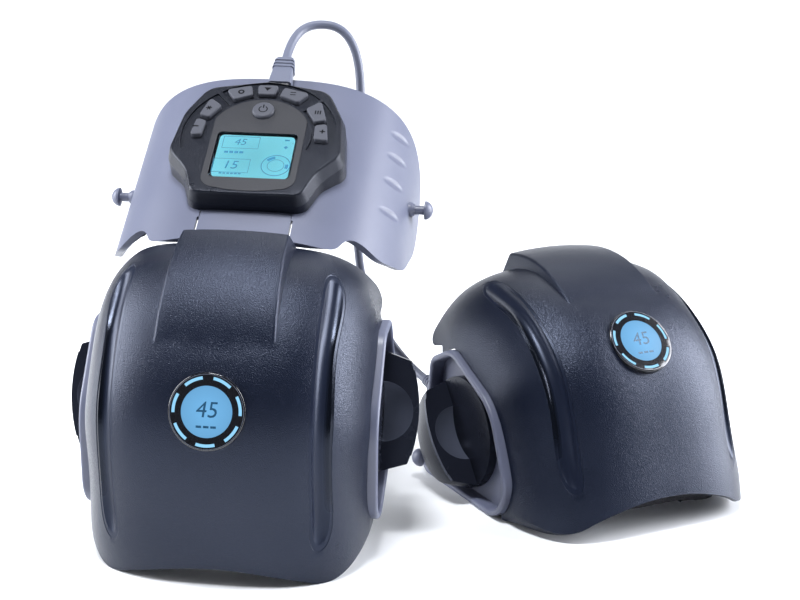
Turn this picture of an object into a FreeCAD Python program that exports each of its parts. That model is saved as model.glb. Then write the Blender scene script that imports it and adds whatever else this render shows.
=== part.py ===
import FreeCAD, Part
import math
import os

V = FreeCAD.Vector
X_AXIS = V(1, 0, 0)
Y_AXIS = V(0, 1, 0)
Z_AXIS = V(0, 0, 1)

# Hot and cold therapy machine for both knees, in millimetres.
#
# Each knee unit is modelled in its own frame: x to the right, y to the back,
# z up, with the origin at the centre of the round display's face. The thigh
# plate is modelled in a frame of its own: x to the right, y up the plate from
# its lower edge, z out of the plate. Both are then placed in the part's frame,
# which stands on the floor plane z = 0 with the units facing -Y.

# ------------------------------------------------------------------ placing
DISPLAY_HEIGHT = 111.7          # main unit's display centre above the floor
MAIN_X = -105.834                 # main unit's display centre
MAIN_Y = -155.651
SECOND_APART = (247.8, 165.7)   # second unit's display centre, from the main one's
SECOND_YAW = 33.8               # turned to its own right
RAKE = 28.8                     # slope of the ears' feet: the second unit rests on them

# ------------------------------------------------------------------- helmet
KNEE_Y = 104.0                  # knee axis, behind and below the display
KNEE_Z = -45.0
CORE = 30.0                     # the helmet's volume stops this near the knee axis
FAR = 160.0                     # beyond the unit on every side, for cutting tools
# stations turned about the knee axis: angle, reach, half width, squareness
KNEE_STATIONS = (
    (0.0, 105.5, 89.0, 3.15),
    (20.0, 112.5, 90.0, 3.15),
    (40.0, 117.4, 89.0, 3.3),
    (60.0, 122.0, 89.0, 3.6),
    (80.0, 122.3, 89.5, 3.9),
    (100.0, 119.0, 90.0, 4.1),
    (122.0, 112.5, 89.5, 4.2),
)
# level stations below the knee axis: height, front, half width, squareness
SHIN_STATIONS = (
    (-122.0, 14.0, 89.5, 3.15),
    (-98.0, 8.2, 89.5, 3.15),
    (-72.0, 3.4, 89.0, 3.15),
)
SECTION_POINTS = 17
SHELL_WALL = 2.8

# --------------------------------------------------------------------- hood
HOOD_HALF = 35.3
HOOD_START = 42.0               # fan angle where the hood rises out of the dome
HOOD_SLOPE = 0.36               # rise per degree of fan angle
HOOD_ROUND = 2.0
HOOD_TAPER = 0.22               # lean of its side walls
HOOD_CROWN = 0.12               # extra fall of its edges, as a share of the rise
HOOD_ANGLES = (30.0, 45.0, 60.0, 75.0, 92.0)
HOOD_DEEP = 40.0                # how far its solid reaches into the dome

# ------------------------------------------------------- shell's free edges
ARCH_HEIGHT = -100.8            # middle of the lower edge
LOBE_HEIGHT = -111.7            # lowest point of the two side lobes
LOBE_X = 65.0
LOBE_SIDE = 92.0
REAR_LOW = (131.0, 38.0)        # slanted rear edge, seen from the side
REAR_HIGH = (80.0, 86.0)
REAR_ROUND = 8.0                # at its lower corner, which turns in above the ear
REAR_TURN = (-24.0, -5.5)       # from the corner to where the shell meets the ear
BORDER_GAP = 0.8                # shell to ear rim

# --------------------------------------------------------------------- ears
EAR_FRONT_Y = 56.0
EAR_BACK_Y = 165.0
EAR_FOOT = (125.0, -65.5)       # a point of the raked foot line
EAR_OUT = 91.5                  # outer face of the rim
RIM_WIDTH = 4.2
RIM_ROUND = 2.0
RIM_IN = 73.0                   # the rim's root inside the shell
FLOOR_OUT = 81.6                # face of the ear's floor
FLOOR_WALL = 2.8
MOAT_WIDTH = 8.5                # smooth step of the shell round the ear
MOAT_FACE = 86.8                # leaves a thin wall of the shell

# -------------------------------------------------------------------- frame
FRAME_FRONT = 24.0              # behind the helmet's face
FRAME_SIDE = 7.4
FRAME_WALL = 2.8
FRAME_SQUARE = 0.85             # added to the helmet's squareness
FRAME_FOOT = -104.0             # lower edge at the sides
FRAME_ARCH = -90.5              # lower edge in the middle
FOOT_GAP = 0.8                  # above the plane of the raked feet
PAD_THICK = 6.0
PAD_FOOT = -106.0               # the pad shows a little below the frame
PAD_ARCH = -103.5
PAD_GAP = 0.5
REAR_INSET = 6.0

# --------------------------------------------------------------------- knob
KNOB_Y = 100.5
KNOB_Z = -29.0
KNOB_GAP = 0.8
KNOB_RADIUS = 37.8
KNOB_BASE = 6.0
KNOB_TOP_RADIUS = 32.5
KNOB_SHOULDER = 105.0
KNOB_CROWN = 110.5
KNOB_TURN = 10.0                # grip's lean at rest
RIDGE_WIDTH = 2.6               # raised band along the grip's upper edge
RIDGE_RISE = 0.6
RIDGE_HALF = 27.0
SCOOP_RADIUS = 19.0
SCOOP_DEPTH = 7.0
PIN_RADIUS = 6.0
PIN_COVER = 1.4                 # of the knob's base over the pin
PIN_END = 0.4                   # free room at the pin's end
PIN_LENGTH = KNOB_GAP + KNOB_BASE - PIN_COVER
RUN_CLEARANCE = 0.05

# -------------------------------------------------------------------- studs
STUD_Y = 145.0
STUD_Z = -37.0
STUD_FLANGE = 5.0
STUD_SHAFT = 3.0
STUD_HEAD = 6.2
STUD_RISE = 4.4
STUD_LENGTH = 6.0
HEAD_LIP = 0.6
HEAD_BRIM = 1.2
EAR_STUD_FOOT = 12.0

# ------------------------------------------------------------------ grooves
GROOVE_X = 66.0
GROOVE_RADIUS = 9.0
TRIM_THICK = 1.6
GROOVE_WALL = 2.2
# path over the dome: fan angle and lift, then height and lift below the knee
GROOVE_KNEE = ((73.0, 13.5), (67.0, 6.5), (50.0, 5.0), (30.0, 5.0), (12.0, 5.0))
GROOVE_SHIN = ((-58.0, 5.0), (-76.0, 6.0), (-89.0, 12.0))

# ------------------------------------------------------------------ display
DISPLAY_TILT = 15.0
BEZEL_RADIUS = 22.3
BEZEL_PROUD = 1.4
BEZEL_DEPTH = 9.0
BEZEL_FACE = 3.6                # thickness of the bezel's face
BEZEL_WALL = 1.6
LENS_RADIUS = 14.8
LENS_SEAT = 1.3
DASH_COUNT = 7
DASH_IN = 18.4
DASH_OUT = 20.2
DASH_SWEEP = 33.0
LIGHT_RING = 1.4
BOARD_THICK = 1.6

# ---------------------------------------------------------- inside the unit
MODULE_SIZE = 40.0
MODULE_DEPTH = 9.0
MODULE_Z = -56.0
MOTOR_RADIUS = 6.0
MOTOR_LENGTH = 26.0
MOTOR_ANGLE = 40.0
BOSS_RADIUS = 4.0
BOSSES = ((44.0, -74.0), (50.0, 8.0))

# -------------------------------------------------------------- thigh hinge
HINGE_Y = 80.0
HINGE_Z = 76.0
KNUCKLE_RADIUS = 5.0
HINGE_PIN_RADIUS = 2.5
LUG_IN = 29.6
KNUCKLE_GAP = 0.4               # between the knuckle and each lug
LUG_THICK = 3.4
LUG_RADIUS = 6.0

# -------------------------------------------------------------- thigh plate
PLATE_LEAN = 56.6               # plate's axis from the vertical
PLATE_Y = 92.0                  # lower edge's middle, in the main unit's frame
PLATE_Z = 80.0
PLATE_HALF = 96.5
PLATE_DROP = 98.0               # height of the arch's section
PLATE_SQUARE = 2.9
PLATE_WALL = 3.0
PLATE_TOP = 146.0
THIGH_PAD = 4.0
PAD_SHARE = 0.9                 # of the plate's side outline
# the plate's free edge seen from the side: up the plate, out of the plate
PLATE_EDGE = (
    (146.0, 0.0), (144.0, -24.0), (137.0, -55.0), (123.0, -75.0),
    (104.0, -83.0), (82.0, -84.0), (64.0, -78.0), (48.0, -68.0),
    (35.0, -60.0), (26.0, -51.0), (18.0, -39.0), (12.5, -25.0),
    (14.0, -13.0), (6.0, -9.4), (0.5, -7.5), (0.0, 0.0),
)
SLIT_WIDTH = 1.0
SLIT_TOP = 17.0
TAB_HALF = 28.6
TAB_SEAM = 0.3
TAB_TOP = 26.5
TAB_THICK = 3.7
WEB_LENGTH = 7.0                # joins the knuckle to the tab and strap
WEB_THICK = 5.4
STRAP_HALF = 20.0
STRAP_TOP = 44.0
STRAP_THICK = 2.0
STRAP_GAP = 0.05
PLATE_STUD = (85.0, -56.0)
PLATE_STUD_FOOT = 4.5           # flange under the stud's neck

# --------------------------------------------------------------- controller
CASE_HALF = (
    (0.0, 22.5, 0.0), (36.0, 23.0, 10.0), (43.0, 44.0, 24.0), (57.0, 61.0, 14.0),
    (53.0, 97.0, 30.0), (41.0, 123.0, 16.0), (0.0, 131.5, 0.0),
)
CASE_SPLIT = 4.5                # joint between the two case halves
CASE_TOP = 13.0
CASE_DRAFT = 2.4
CASE_ROUND = 1.8
CASE_WALL = 2.2
CASE_FLOOR = 1.2                # room's floor above the saddle's crown
BATTERY_SIZE = (44.0, 50.0, 40.0)   # width, length, start up the plate
KEY_CENTRE = 78.0               # height of the arc of keys' centre
ISLAND_IN = 34.2
ISLAND_OUT = 49.4
ISLAND_DEPTH = 1.2
ISLANDS = ((131.0, 199.0), (45.0, 128.0), (-21.0, 42.0))
KEY_IN = 36.2
KEY_HEIGHT = 2.2                # above the case
KEY_FOOT = 3.0                  # below the case's face
KEY_GAP = 0.25
KEY_ROUND = 1.0
KEY_CORNER = 2.0                # seen from above
KEY_TRAVEL = 0.8
# name, first and last angle on the arc, reach of the two outer corners
KEYS = (
    ("key_minus", 165.0, 186.0, 43.0, 43.5), ("key_star", 139.0, 160.0, 47.6, 43.2),
    ("key_circle", 104.0, 124.5, 45.6, 47.8), ("key_down", 81.5, 99.0, 45.4, 45.4),
    ("key_mode", 54.0, 76.5, 47.4, 44.6), ("key_heat", 18.0, 41.0, 44.0, 48.2),
    ("key_cold", -7.0, 13.5, 45.6, 43.8),
)
POWER_RADIUS = 7.2
POWER_APART = 8.0               # from the power key to the arc of keys
POWER_HEIGHT = KEY_CENTRE + KEY_IN - POWER_APART - POWER_RADIUS
INSERT_HALF = 29.6
INSERT_ARCH = 32.4
INSERT_LOW = 27.0
INSERT_THICK = 1.6
INSERT_CORNER = 9.8             # radius of its lower corners
INSERT_BELLY = 2.2              # bow of its lower edge
INSERT_PROUD = 0.3              # above the case's face
GLASS_HALF = 25.7
GLASS_LOW = 38.3
GLASS_HIGH = 79.0
GLASS_THICK = 1.4
BOARD_LEVEL = 7.0               # top face of the controller's board
MAT_THICK = 0.8
MAT_BELOW = 10.0                # of the keys' centre, where the mat ends

# --------------------------------------------------------------------- cord
CORD_DIAMETER = 6.0
PLUG_X = 5.0
PLUG_HEIGHT = 6.5
PLUG_BODY = 25.0
PLUG_FRONT = (15.0, 8.8)
PLUG_BACK = (11.6, 8.0)
PLUG_START = 131.8              # plug's front face, up the plate
SOCKET_WIDTH = 12.0
SOCKET_DEPTH = 7.8
SOCKET_HIGH = 6.0
SOCKET_WALL = 1.0
SOCKET_ROOM = 0.2               # left for it by the case
CONTACT_GAP = 0.3               # inside the socket
CONTACT_WALL = 0.6
GLAND_Z = 8.0                   # on the second unit's left ear, in that unit's frame
GLAND_X = -84.5
GLAND_RADIUS = 5.0
GLAND_TIP = 3.9
GLAND_LENGTH = 14.0
# corners of the cord's route between plug and gland, from the main display's centre
CORD_CORNERS = (
    (5.0, 238.0, 184.0), (16.0, 253.0, 194.5), (39.5, 257.0, 192.0), (51.5, 255.0, 166.0),
    (51.0, 250.0, 112.0), (50.0, 246.0, 55.0), (56.0, 247.0, 8.0), (72.0, 250.0, -24.0),
    (92.3, 246.1, -47.2),
)
CORD_GAP = 0.03                 # to the plug
CORD_SHARE = 0.45               # share of the shorter run that a bend takes


# ================================================================= geometry
def rounded_wire(corners, put):
    """Closed wire through 2D corners (a, b, radius), drawn by put(a, b)."""
    count = len(corners)
    spans = []
    for index, (a, b, radius) in enumerate(corners):
        before = corners[index - 1]
        after = corners[(index + 1) % count]
        here = V(a, b, 0)
        back = (V(before[0], before[1], 0) - here).normalize()
        ahead = (V(after[0], after[1], 0) - here).normalize()
        half = back.getAngle(ahead) / 2
        if radius <= 0:
            spans.append((here, here, here))
            continue
        run = radius / math.tan(half)
        bisector = (back + ahead).normalize()
        middle = here + bisector * (radius / math.sin(half) - radius)
        spans.append((here + back * run, middle, here + ahead * run))
    edges = []
    for index, (start, middle, end) in enumerate(spans):
        following = spans[(index + 1) % count][0]
        if start.distanceToPoint(end) > 1e-6:
            arc = Part.Arc(put(start.x, start.y), put(middle.x, middle.y), put(end.x, end.y))
            edges.append(arc.toShape())
        if end.distanceToPoint(following) > 1e-6:
            line = Part.LineSegment(put(end.x, end.y), put(following.x, following.y))
            edges.append(line.toShape())
    return Part.Wire(edges)


def side_put(x):
    """Drawing plane seen from the side: (y, z) at the given x."""
    return lambda a, b: V(x, a, b)


def front_put(y):
    """Drawing plane seen from the front: (x, z) at the given y."""
    return lambda a, b: V(a, y, b)


def plan_put(z):
    """Drawing plane seen from above: (x, y) at the given z."""
    return lambda a, b: V(a, b, z)


def prism(wire, along):
    """Solid swept from a flat closed wire along a vector."""
    return Part.Face(wire).extrude(along)


def spline(points, closed=False):
    """Interpolated edge through points."""
    curve = Part.BSplineCurve()
    curve.interpolate(points, PeriodicFlag=closed)
    return curve.toShape()


def disc(radius, low, high):
    """Round bar along z from low to high."""
    return Part.makeCylinder(radius, high - low, V(0, 0, low))


def mirrored(shape):
    """The same piece on the other side of the unit."""
    return shape.mirror(V(0, 0, 0), X_AXIS)


def pipe(path, radius):
    """Round solid swept along a wire."""
    edge = path.Edges[0]
    start = edge.valueAt(edge.FirstParameter)
    tangent = edge.tangentAt(edge.FirstParameter)
    profile = Part.Wire([Part.Circle(start, tangent, radius).toShape()])
    return path.makePipeShell([profile], True, False)


def lump(shape):
    """The one solid of a boolean's result."""
    solids = sorted(shape.Solids, key=lambda solid: solid.Volume)
    return solids[-1]


# =================================================================== helmet
def fan_point(x, reach, angle):
    """Point in the plane turned by angle about the knee axis."""
    turn = math.radians(angle)
    return V(x, KNEE_Y - reach * math.cos(turn), KNEE_Z + reach * math.sin(turn))


def section_edges(half_width, depth, power, core, put):
    """Superellipse from side to side, closed by a straight back at core."""
    points = []
    cut = (1 - (core / depth) ** power) ** (1 / power)
    start = math.acos(cut ** (power / 2))
    for index in range(SECTION_POINTS):
        turn = start + (math.pi - 2 * start) * index / (SECTION_POINTS - 1)
        cosine = math.cos(turn)
        across = math.copysign(abs(cosine) ** (2 / power), cosine)
        out = math.sin(turn) ** (2 / power)
        points.append(put(half_width * across, depth * out))
    back = Part.LineSegment(points[-1], points[0]).toShape()
    return Part.Wire([spline(points), back])


def helmet(front_inset=0.0, side_inset=0.0, core=CORE, square=0.0, overrun=0.0):
    """Solid volume of the knee unit's form, inset at the front and sides."""
    wires = []
    for index, (height, front, half_width, power) in enumerate(SHIN_STATIONS):
        level = height - overrun if index == 0 else height
        put = lambda x, depth, z=level: V(x, KNEE_Y - depth, z)
        depth = KNEE_Y - front - front_inset
        wires.append(section_edges(half_width - side_inset, depth, power + square, core, put))
    last = len(KNEE_STATIONS) - 1
    for index, (angle, reach, half_width, power) in enumerate(KNEE_STATIONS):
        turn = angle + overrun * 0.5 if index == last else angle
        put = lambda x, depth, a=turn: fan_point(x, depth, a)
        depth = reach - front_inset
        wires.append(section_edges(half_width - side_inset, depth, power + square, core, put))
    return Part.makeLoft(wires, True)


def knee_values(angle):
    """Reach, half width and squareness between the knee stations."""
    for low, high in zip(KNEE_STATIONS, KNEE_STATIONS[1:]):
        if angle <= high[0]:
            share = (angle - low[0]) / (high[0] - low[0])
            return tuple(a + (b - a) * share for a, b in zip(low[1:], high[1:]))
    return KNEE_STATIONS[-1][1:]


def shin_values(height):
    """Depth, half width and squareness below the knee axis."""
    knee = (KNEE_Z, KNEE_Y - KNEE_STATIONS[0][1]) + KNEE_STATIONS[0][2:]
    stations = SHIN_STATIONS + (knee,)
    for low, high in zip(stations, stations[1:]):
        if height <= high[0]:
            share = (height - low[0]) / (high[0] - low[0])
            front, half_width, power = (a + (b - a) * share for a, b in zip(low[1:], high[1:]))
            return KNEE_Y - front, half_width, power
    return KNEE_Y - knee[1], knee[2], knee[3]


def fraction(x, half_width, power):
    """Share of a section's depth that is left at x."""
    return (1 - (abs(x) / half_width) ** power) ** (1 / power)


def hood(inset=0.0):
    """Raised middle panel that grows out of the dome towards the thigh."""
    wires = []
    for angle in HOOD_ANGLES:
        reach, half_width, power = knee_values(angle)
        rise = HOOD_SLOPE * (angle - HOOD_START)
        half = HOOD_HALF - HOOD_TAPER * rise - inset
        wide = half + HOOD_TAPER * (rise + HOOD_DEEP)
        top = reach + rise - inset
        edge = top * fraction(half, half_width, power) - HOOD_CROWN * max(rise, 0.0)
        low = reach - HOOD_DEEP
        arc = Part.Arc(
            fan_point(-half, edge, angle), fan_point(0, top, angle), fan_point(half, edge, angle)
        ).toShape()
        foot = [fan_point(half, edge, angle), fan_point(wide, low, angle)]
        foot += [fan_point(-wide, low, angle), fan_point(-half, edge, angle)]
        lines = [Part.LineSegment(a, b).toShape() for a, b in zip(foot, foot[1:])]
        wires.append(Part.Wire([arc] + lines))
    solid = Part.makeLoft(wires, True)
    if inset == 0.0:
        solid = solid.makeFillet(HOOD_ROUND, hood_edges(solid))
    return solid


def hood_edges(solid):
    """The two long upper edges of the hood's solid."""
    found = []
    for edge in solid.Edges:
        ends = [vertex.Point for vertex in edge.Vertexes]
        if len(ends) < 2 or ends[0].distanceToPoint(ends[1]) < 60:
            continue
        middle = edge.CenterOfMass
        reach = math.hypot(middle.y - KNEE_Y, middle.z - KNEE_Z)
        if abs(middle.x) > 0.7 * HOOD_HALF and reach > KNEE_STATIONS[0][1]:
            found.append(edge)
    return found


# =============================================================== free edges
def ear_corners():
    """Corners of the ear's D outline, seen from the side."""
    slope = math.tan(math.radians(RAKE))
    front_low = EAR_FOOT[1] + (EAR_FRONT_Y - EAR_FOOT[0]) * slope
    back_low = EAR_FOOT[1] + (EAR_BACK_Y - EAR_FOOT[0]) * slope
    return (
        (EAR_FRONT_Y, front_low, 23.0), (EAR_BACK_Y, back_low, 9.0),
        (117.0, 27.5, 12.0), (86.0, 26.0, 18.0), (49.5, -22.0, 40.0),
    )


def ear_prism(grow, low, high):
    """Block with the ear's outline, grown by a distance, from x low to high."""
    wire = rounded_wire(ear_corners(), side_put(low))
    if grow:
        wire = wire.makeOffset2D(grow)
    return prism(wire, V(high - low, 0, 0))


def rear_cut(inset):
    """Everything behind the slanted rear edge and the corner above the ear."""
    run = V(REAR_HIGH[0] - REAR_LOW[0], REAR_HIGH[1] - REAR_LOW[1], 0).normalize()
    shift = V(-run.y, run.x, 0) * inset
    high = V(REAR_LOW[0], REAR_LOW[1], 0) + run * 160.0
    corners = []
    turn_y = REAR_LOW[0] + REAR_TURN[0]
    for a, b, radius in (
        (high.x, high.y, 0), (REAR_LOW[0], REAR_LOW[1], REAR_ROUND),
        (turn_y, REAR_LOW[1] + REAR_TURN[1], 0), (turn_y, -FAR, 0),
        (2 * FAR, -FAR, 0), (2 * FAR, high.y, 0),
    ):
        corners.append((a + shift.x, b + shift.y, radius))
    return prism(rounded_wire(corners, side_put(-FAR)), V(2 * FAR, 0, 0))


def foot_cut():
    """Everything below the arched lower edge with its two lobes."""
    def point(x, z):
        return V(x, -40, z)

    arch = []
    for x in (-0.62, -0.31, 0.0, 0.31, 0.62):
        across = x * LOBE_X
        drop = (LOBE_HEIGHT - ARCH_HEIGHT) * (across / LOBE_X) ** 2 * 1.12
        arch.append(point(across, ARCH_HEIGHT + drop))
    left = [
        point(-LOBE_SIDE, -66), point(-LOBE_SIDE + 3.5, -87), point(-81.5, -101.5),
        point(-73, -109.5), point(-LOBE_X, LOBE_HEIGHT), point(-54, -109.0),
    ]
    right = [V(-p.x, p.y, p.z) for p in reversed(left)]
    edge = spline(left + arch + right)
    ends = [right[-1], point(FAR, -66), V(FAR, -40, -FAR)]
    ends += [V(-FAR, -40, -FAR), point(-FAR, -66), left[0]]
    lines = [Part.LineSegment(a, b).toShape() for a, b in zip(ends, ends[1:])]
    return prism(Part.Wire([edge] + lines), V(0, 2 * FAR, 0))


def arch_foot(low, high):
    """Everything below a plain arched edge, by its height at the sides and in the middle."""
    corners = (
        (-FAR, -FAR, 0), (FAR, -FAR, 0), (FAR, low, 0), (54, low, 14), (24, high, 30),
        (-24, high, 30), (-54, low, 14), (-FAR, low, 0),
    )
    return prism(rounded_wire(corners, front_put(-40)), V(0, 2 * FAR, 0))


def foot_plane_cut(gap):
    """Everything below the ears' raked feet, which the unit can lean back on."""
    slope = math.tan(math.radians(RAKE))
    low = EAR_FOOT[1] + (-60 - EAR_FOOT[0]) * slope + gap
    high = EAR_FOOT[1] + (200 - EAR_FOOT[0]) * slope + gap
    corners = ((-60, low, 0), (-60, low - 60, 0), (200, low - 60, 0), (200, high, 0))
    return prism(rounded_wire(corners, side_put(-FAR)), V(2 * FAR, 0, 0))


# ============================================================== front shell
def groove_path(side):
    """Curve of a groove's centre, over the dome and down the shin."""
    points = []
    for angle, lift in GROOVE_KNEE:
        reach, half_width, power = knee_values(angle)
        out = reach * fraction(GROOVE_X, half_width, power) + lift
        points.append(fan_point(side * GROOVE_X, out, angle))
    for height, lift in GROOVE_SHIN:
        depth, half_width, power = shin_values(height)
        out = depth * fraction(GROOVE_X, half_width, power) + lift
        points.append(V(side * GROOVE_X, KNEE_Y - out, height))
    return Part.Wire([spline(points)])


def display_place(shape):
    """Turn a piece built round z into the tilted display seat."""
    shape.Placement = FreeCAD.Placement(
        V(0, 0, 0), FreeCAD.Rotation(X_AXIS, 90 - DISPLAY_TILT)
    )
    return shape


def hinge_lugs(body):
    """Two lugs under the hood that carry the thigh hinge's pin."""
    lugs = []
    for low in (LUG_IN, -LUG_IN - LUG_THICK):
        corners = (
            (HINGE_Y - 12, HINGE_Z + 40, 0), (HINGE_Y - 9, HINGE_Z - 2, 3),
            (HINGE_Y - 3, HINGE_Z - LUG_RADIUS, 3), (HINGE_Y + 5, HINGE_Z - LUG_RADIUS, 4),
            (HINGE_Y + 5.5, HINGE_Z + 3, 2), (HINGE_Y + 3, HINGE_Z + 40, 0),
        )
        lug = prism(rounded_wire(corners, side_put(low)), V(LUG_THICK, 0, 0))
        lugs.append(lug.common(body))
    return lugs


def front_shell(outer, hood_outer, grooves):
    """Moulded outer shell with hood, grooves, display seat and hinge lugs."""
    body = outer.fuse(hood_outer)
    hollow = helmet(SHELL_WALL, SHELL_WALL, CORE - 6, 0.0, 4.0).fuse(hood(SHELL_WALL))
    bed = helmet(FRAME_FRONT, FRAME_SIDE, CORE - 10, FRAME_SQUARE)
    ribs = [pipe(path, GROOVE_RADIUS + GROOVE_WALL).common(outer) for path in grooves]
    posts = []
    for x, z in BOSSES:
        for side in (-1, 1):
            post = Part.makeCylinder(BOSS_RADIUS, KNEE_Y, V(side * x, 0, z), Y_AXIS)
            posts.append(post.common(outer).cut(bed))
    shell = body.cut(hollow).fuse(ribs + posts + hinge_lugs(body))
    shell = shell.cut([pipe(path, GROOVE_RADIUS) for path in grooves])
    shell = shell.cut([rear_cut(0.0), foot_cut(), foot_plane_cut(FOOT_GAP)])
    for side in (-1, 1):
        ear = ear_prism(BORDER_GAP, RIM_IN - 10, FAR)
        step = ear_prism(MOAT_WIDTH, MOAT_FACE, FAR)
        pin = Part.makeCylinder(
            HINGE_PIN_RADIUS, LUG_IN + LUG_THICK, V(0, HINGE_Y, HINGE_Z), X_AXIS
        )
        tools = [ear, step, pin]
        shell = shell.cut([mirrored(t) if side < 0 else t for t in tools])
    shell = shell.cut(display_place(disc(BEZEL_RADIUS, -20, 20)))
    return lump(shell)


def groove_trim(outer, path):
    """Glossy concave strip that lines a groove."""
    skin = pipe(path, GROOVE_RADIUS).cut(pipe(path, GROOVE_RADIUS - TRIM_THICK))
    return lump(skin.common(outer))


# ================================================================== display
def arc_block(inner, outer, start, sweep, low, high):
    """Part of a flat ring, from a start angle through a sweep."""
    ring = disc(outer, low, high).cut(disc(inner, low - 1, high + 1))
    wedge = Part.makeCylinder(outer + 5, high - low, V(0, 0, low), Z_AXIS, sweep)
    wedge.rotate(V(0, 0, 0), Z_AXIS, start)
    return ring.common(wedge)


def dash_blocks(clear, low, high):
    """The seven arc-shaped dashes of the light ring, one at the bottom."""
    pitch = 360.0 / DASH_COUNT
    blocks = []
    for index in range(DASH_COUNT):
        start = -90 + index * pitch - DASH_SWEEP / 2
        blocks.append(arc_block(DASH_IN - clear, DASH_OUT + clear, start, DASH_SWEEP, low, high))
    return blocks


def display_bezel():
    """Round black cup with the lens seat and seven slots."""
    cup = disc(BEZEL_RADIUS, -BEZEL_DEPTH, BEZEL_PROUD)
    rim = [edge for edge in cup.Edges if edge.CenterOfMass.z > BEZEL_PROUD - 0.1]
    cup = cup.makeFillet(0.8, rim[:1])
    hollow = disc(BEZEL_RADIUS - BEZEL_WALL, -BEZEL_DEPTH - 1, BEZEL_PROUD - BEZEL_FACE)
    seat = disc(LENS_RADIUS, BEZEL_PROUD - LENS_SEAT, BEZEL_PROUD + 1)
    window = disc(LENS_RADIUS - 1.2, -BEZEL_DEPTH, BEZEL_PROUD)
    slots = dash_blocks(0.0, BEZEL_PROUD - BEZEL_FACE - 1, BEZEL_PROUD + 1)
    return lump(cup.cut([hollow, seat, window] + slots))


def display_light_ring():
    """Clear ring behind the bezel with seven bars that fill its slots."""
    base = BEZEL_PROUD - BEZEL_FACE
    outer = BEZEL_RADIUS - BEZEL_WALL
    ring = disc(outer, base - LIGHT_RING, base).cut(disc(LENS_RADIUS, base - 9, base + 9))
    return lump(ring.fuse(dash_blocks(0.0, base - 0.4, BEZEL_PROUD - 0.25)))


def display_lens():
    """Round lit lens, slightly domed."""
    low = BEZEL_PROUD - LENS_SEAT
    lens = disc(LENS_RADIUS, low, BEZEL_PROUD + 0.2)
    dome = 260.0
    ball = Part.makeSphere(dome, V(0, 0, BEZEL_PROUD + 0.2 - dome))
    return lump(lens.common(ball))


def display_board():
    """Light board in the bezel's cup."""
    top = BEZEL_PROUD - BEZEL_FACE - LIGHT_RING
    board = disc(BEZEL_RADIUS - BEZEL_WALL, top - BOARD_THICK, top)
    lamps = []
    for index in range(DASH_COUNT):
        lamp = Part.makeBox(2, 2, 0.8, V(DASH_IN - 0.2, -1, top - BOARD_THICK - 0.8))
        lamp.rotate(V(0, 0, 0), Z_AXIS, -90 + index * 360.0 / DASH_COUNT)
        lamps.append(lamp)
    return lump(board.fuse(lamps))


# ============================================================== inner frame
def ear_rim():
    """Right ear: rounded rim, dished floor and the knob's pin."""
    wall = ear_prism(0.0, RIM_IN, EAR_OUT).cut(ear_prism(-RIM_WIDTH, RIM_IN - 1, EAR_OUT + 1))
    lip = [edge for edge in wall.Edges if edge.BoundBox.XMin > EAR_OUT - 0.01]
    wall = wall.makeFillet(RIM_ROUND, lip)
    plate = ear_prism(-RIM_WIDTH + 1.0, FLOOR_OUT - FLOOR_WALL, FLOOR_OUT)
    pin = Part.makeCylinder(
        PIN_RADIUS, PIN_LENGTH + 1, V(FLOOR_OUT - 1, KNOB_Y, KNOB_Z), X_AXIS
    )
    return wall.fuse([plate, pin])


def inner_frame(bed, bed_inside):
    """Blue-grey frame: curved wall over the knee with an ear on each side."""
    opening = ear_prism(-RIM_WIDTH + 1.0, -100, 100)
    cuts = [rear_cut(REAR_INSET), arch_foot(FRAME_FOOT, FRAME_ARCH), foot_plane_cut(FOOT_GAP), opening]
    wall = lump(bed.cut(cuts).cut(bed_inside))
    right = ear_rim()
    return lump(wall.fuse([right, mirrored(right)]))


def liner_pad():
    """Soft black pad that lines the frame against the leg."""
    inset = FRAME_WALL + PAD_GAP
    face = helmet(FRAME_FRONT + inset, FRAME_SIDE + inset, CORE - 10, FRAME_SQUARE)
    inset += PAD_THICK
    inside = helmet(FRAME_FRONT + inset, FRAME_SIDE + inset, CORE - 18, FRAME_SQUARE, 4.0)
    cuts = [rear_cut(REAR_INSET), arch_foot(PAD_FOOT, PAD_ARCH), foot_plane_cut(FOOT_GAP)]
    return lump(face.cut(cuts + [ear_prism(0.5, -100, 100)]).cut(inside))


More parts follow.
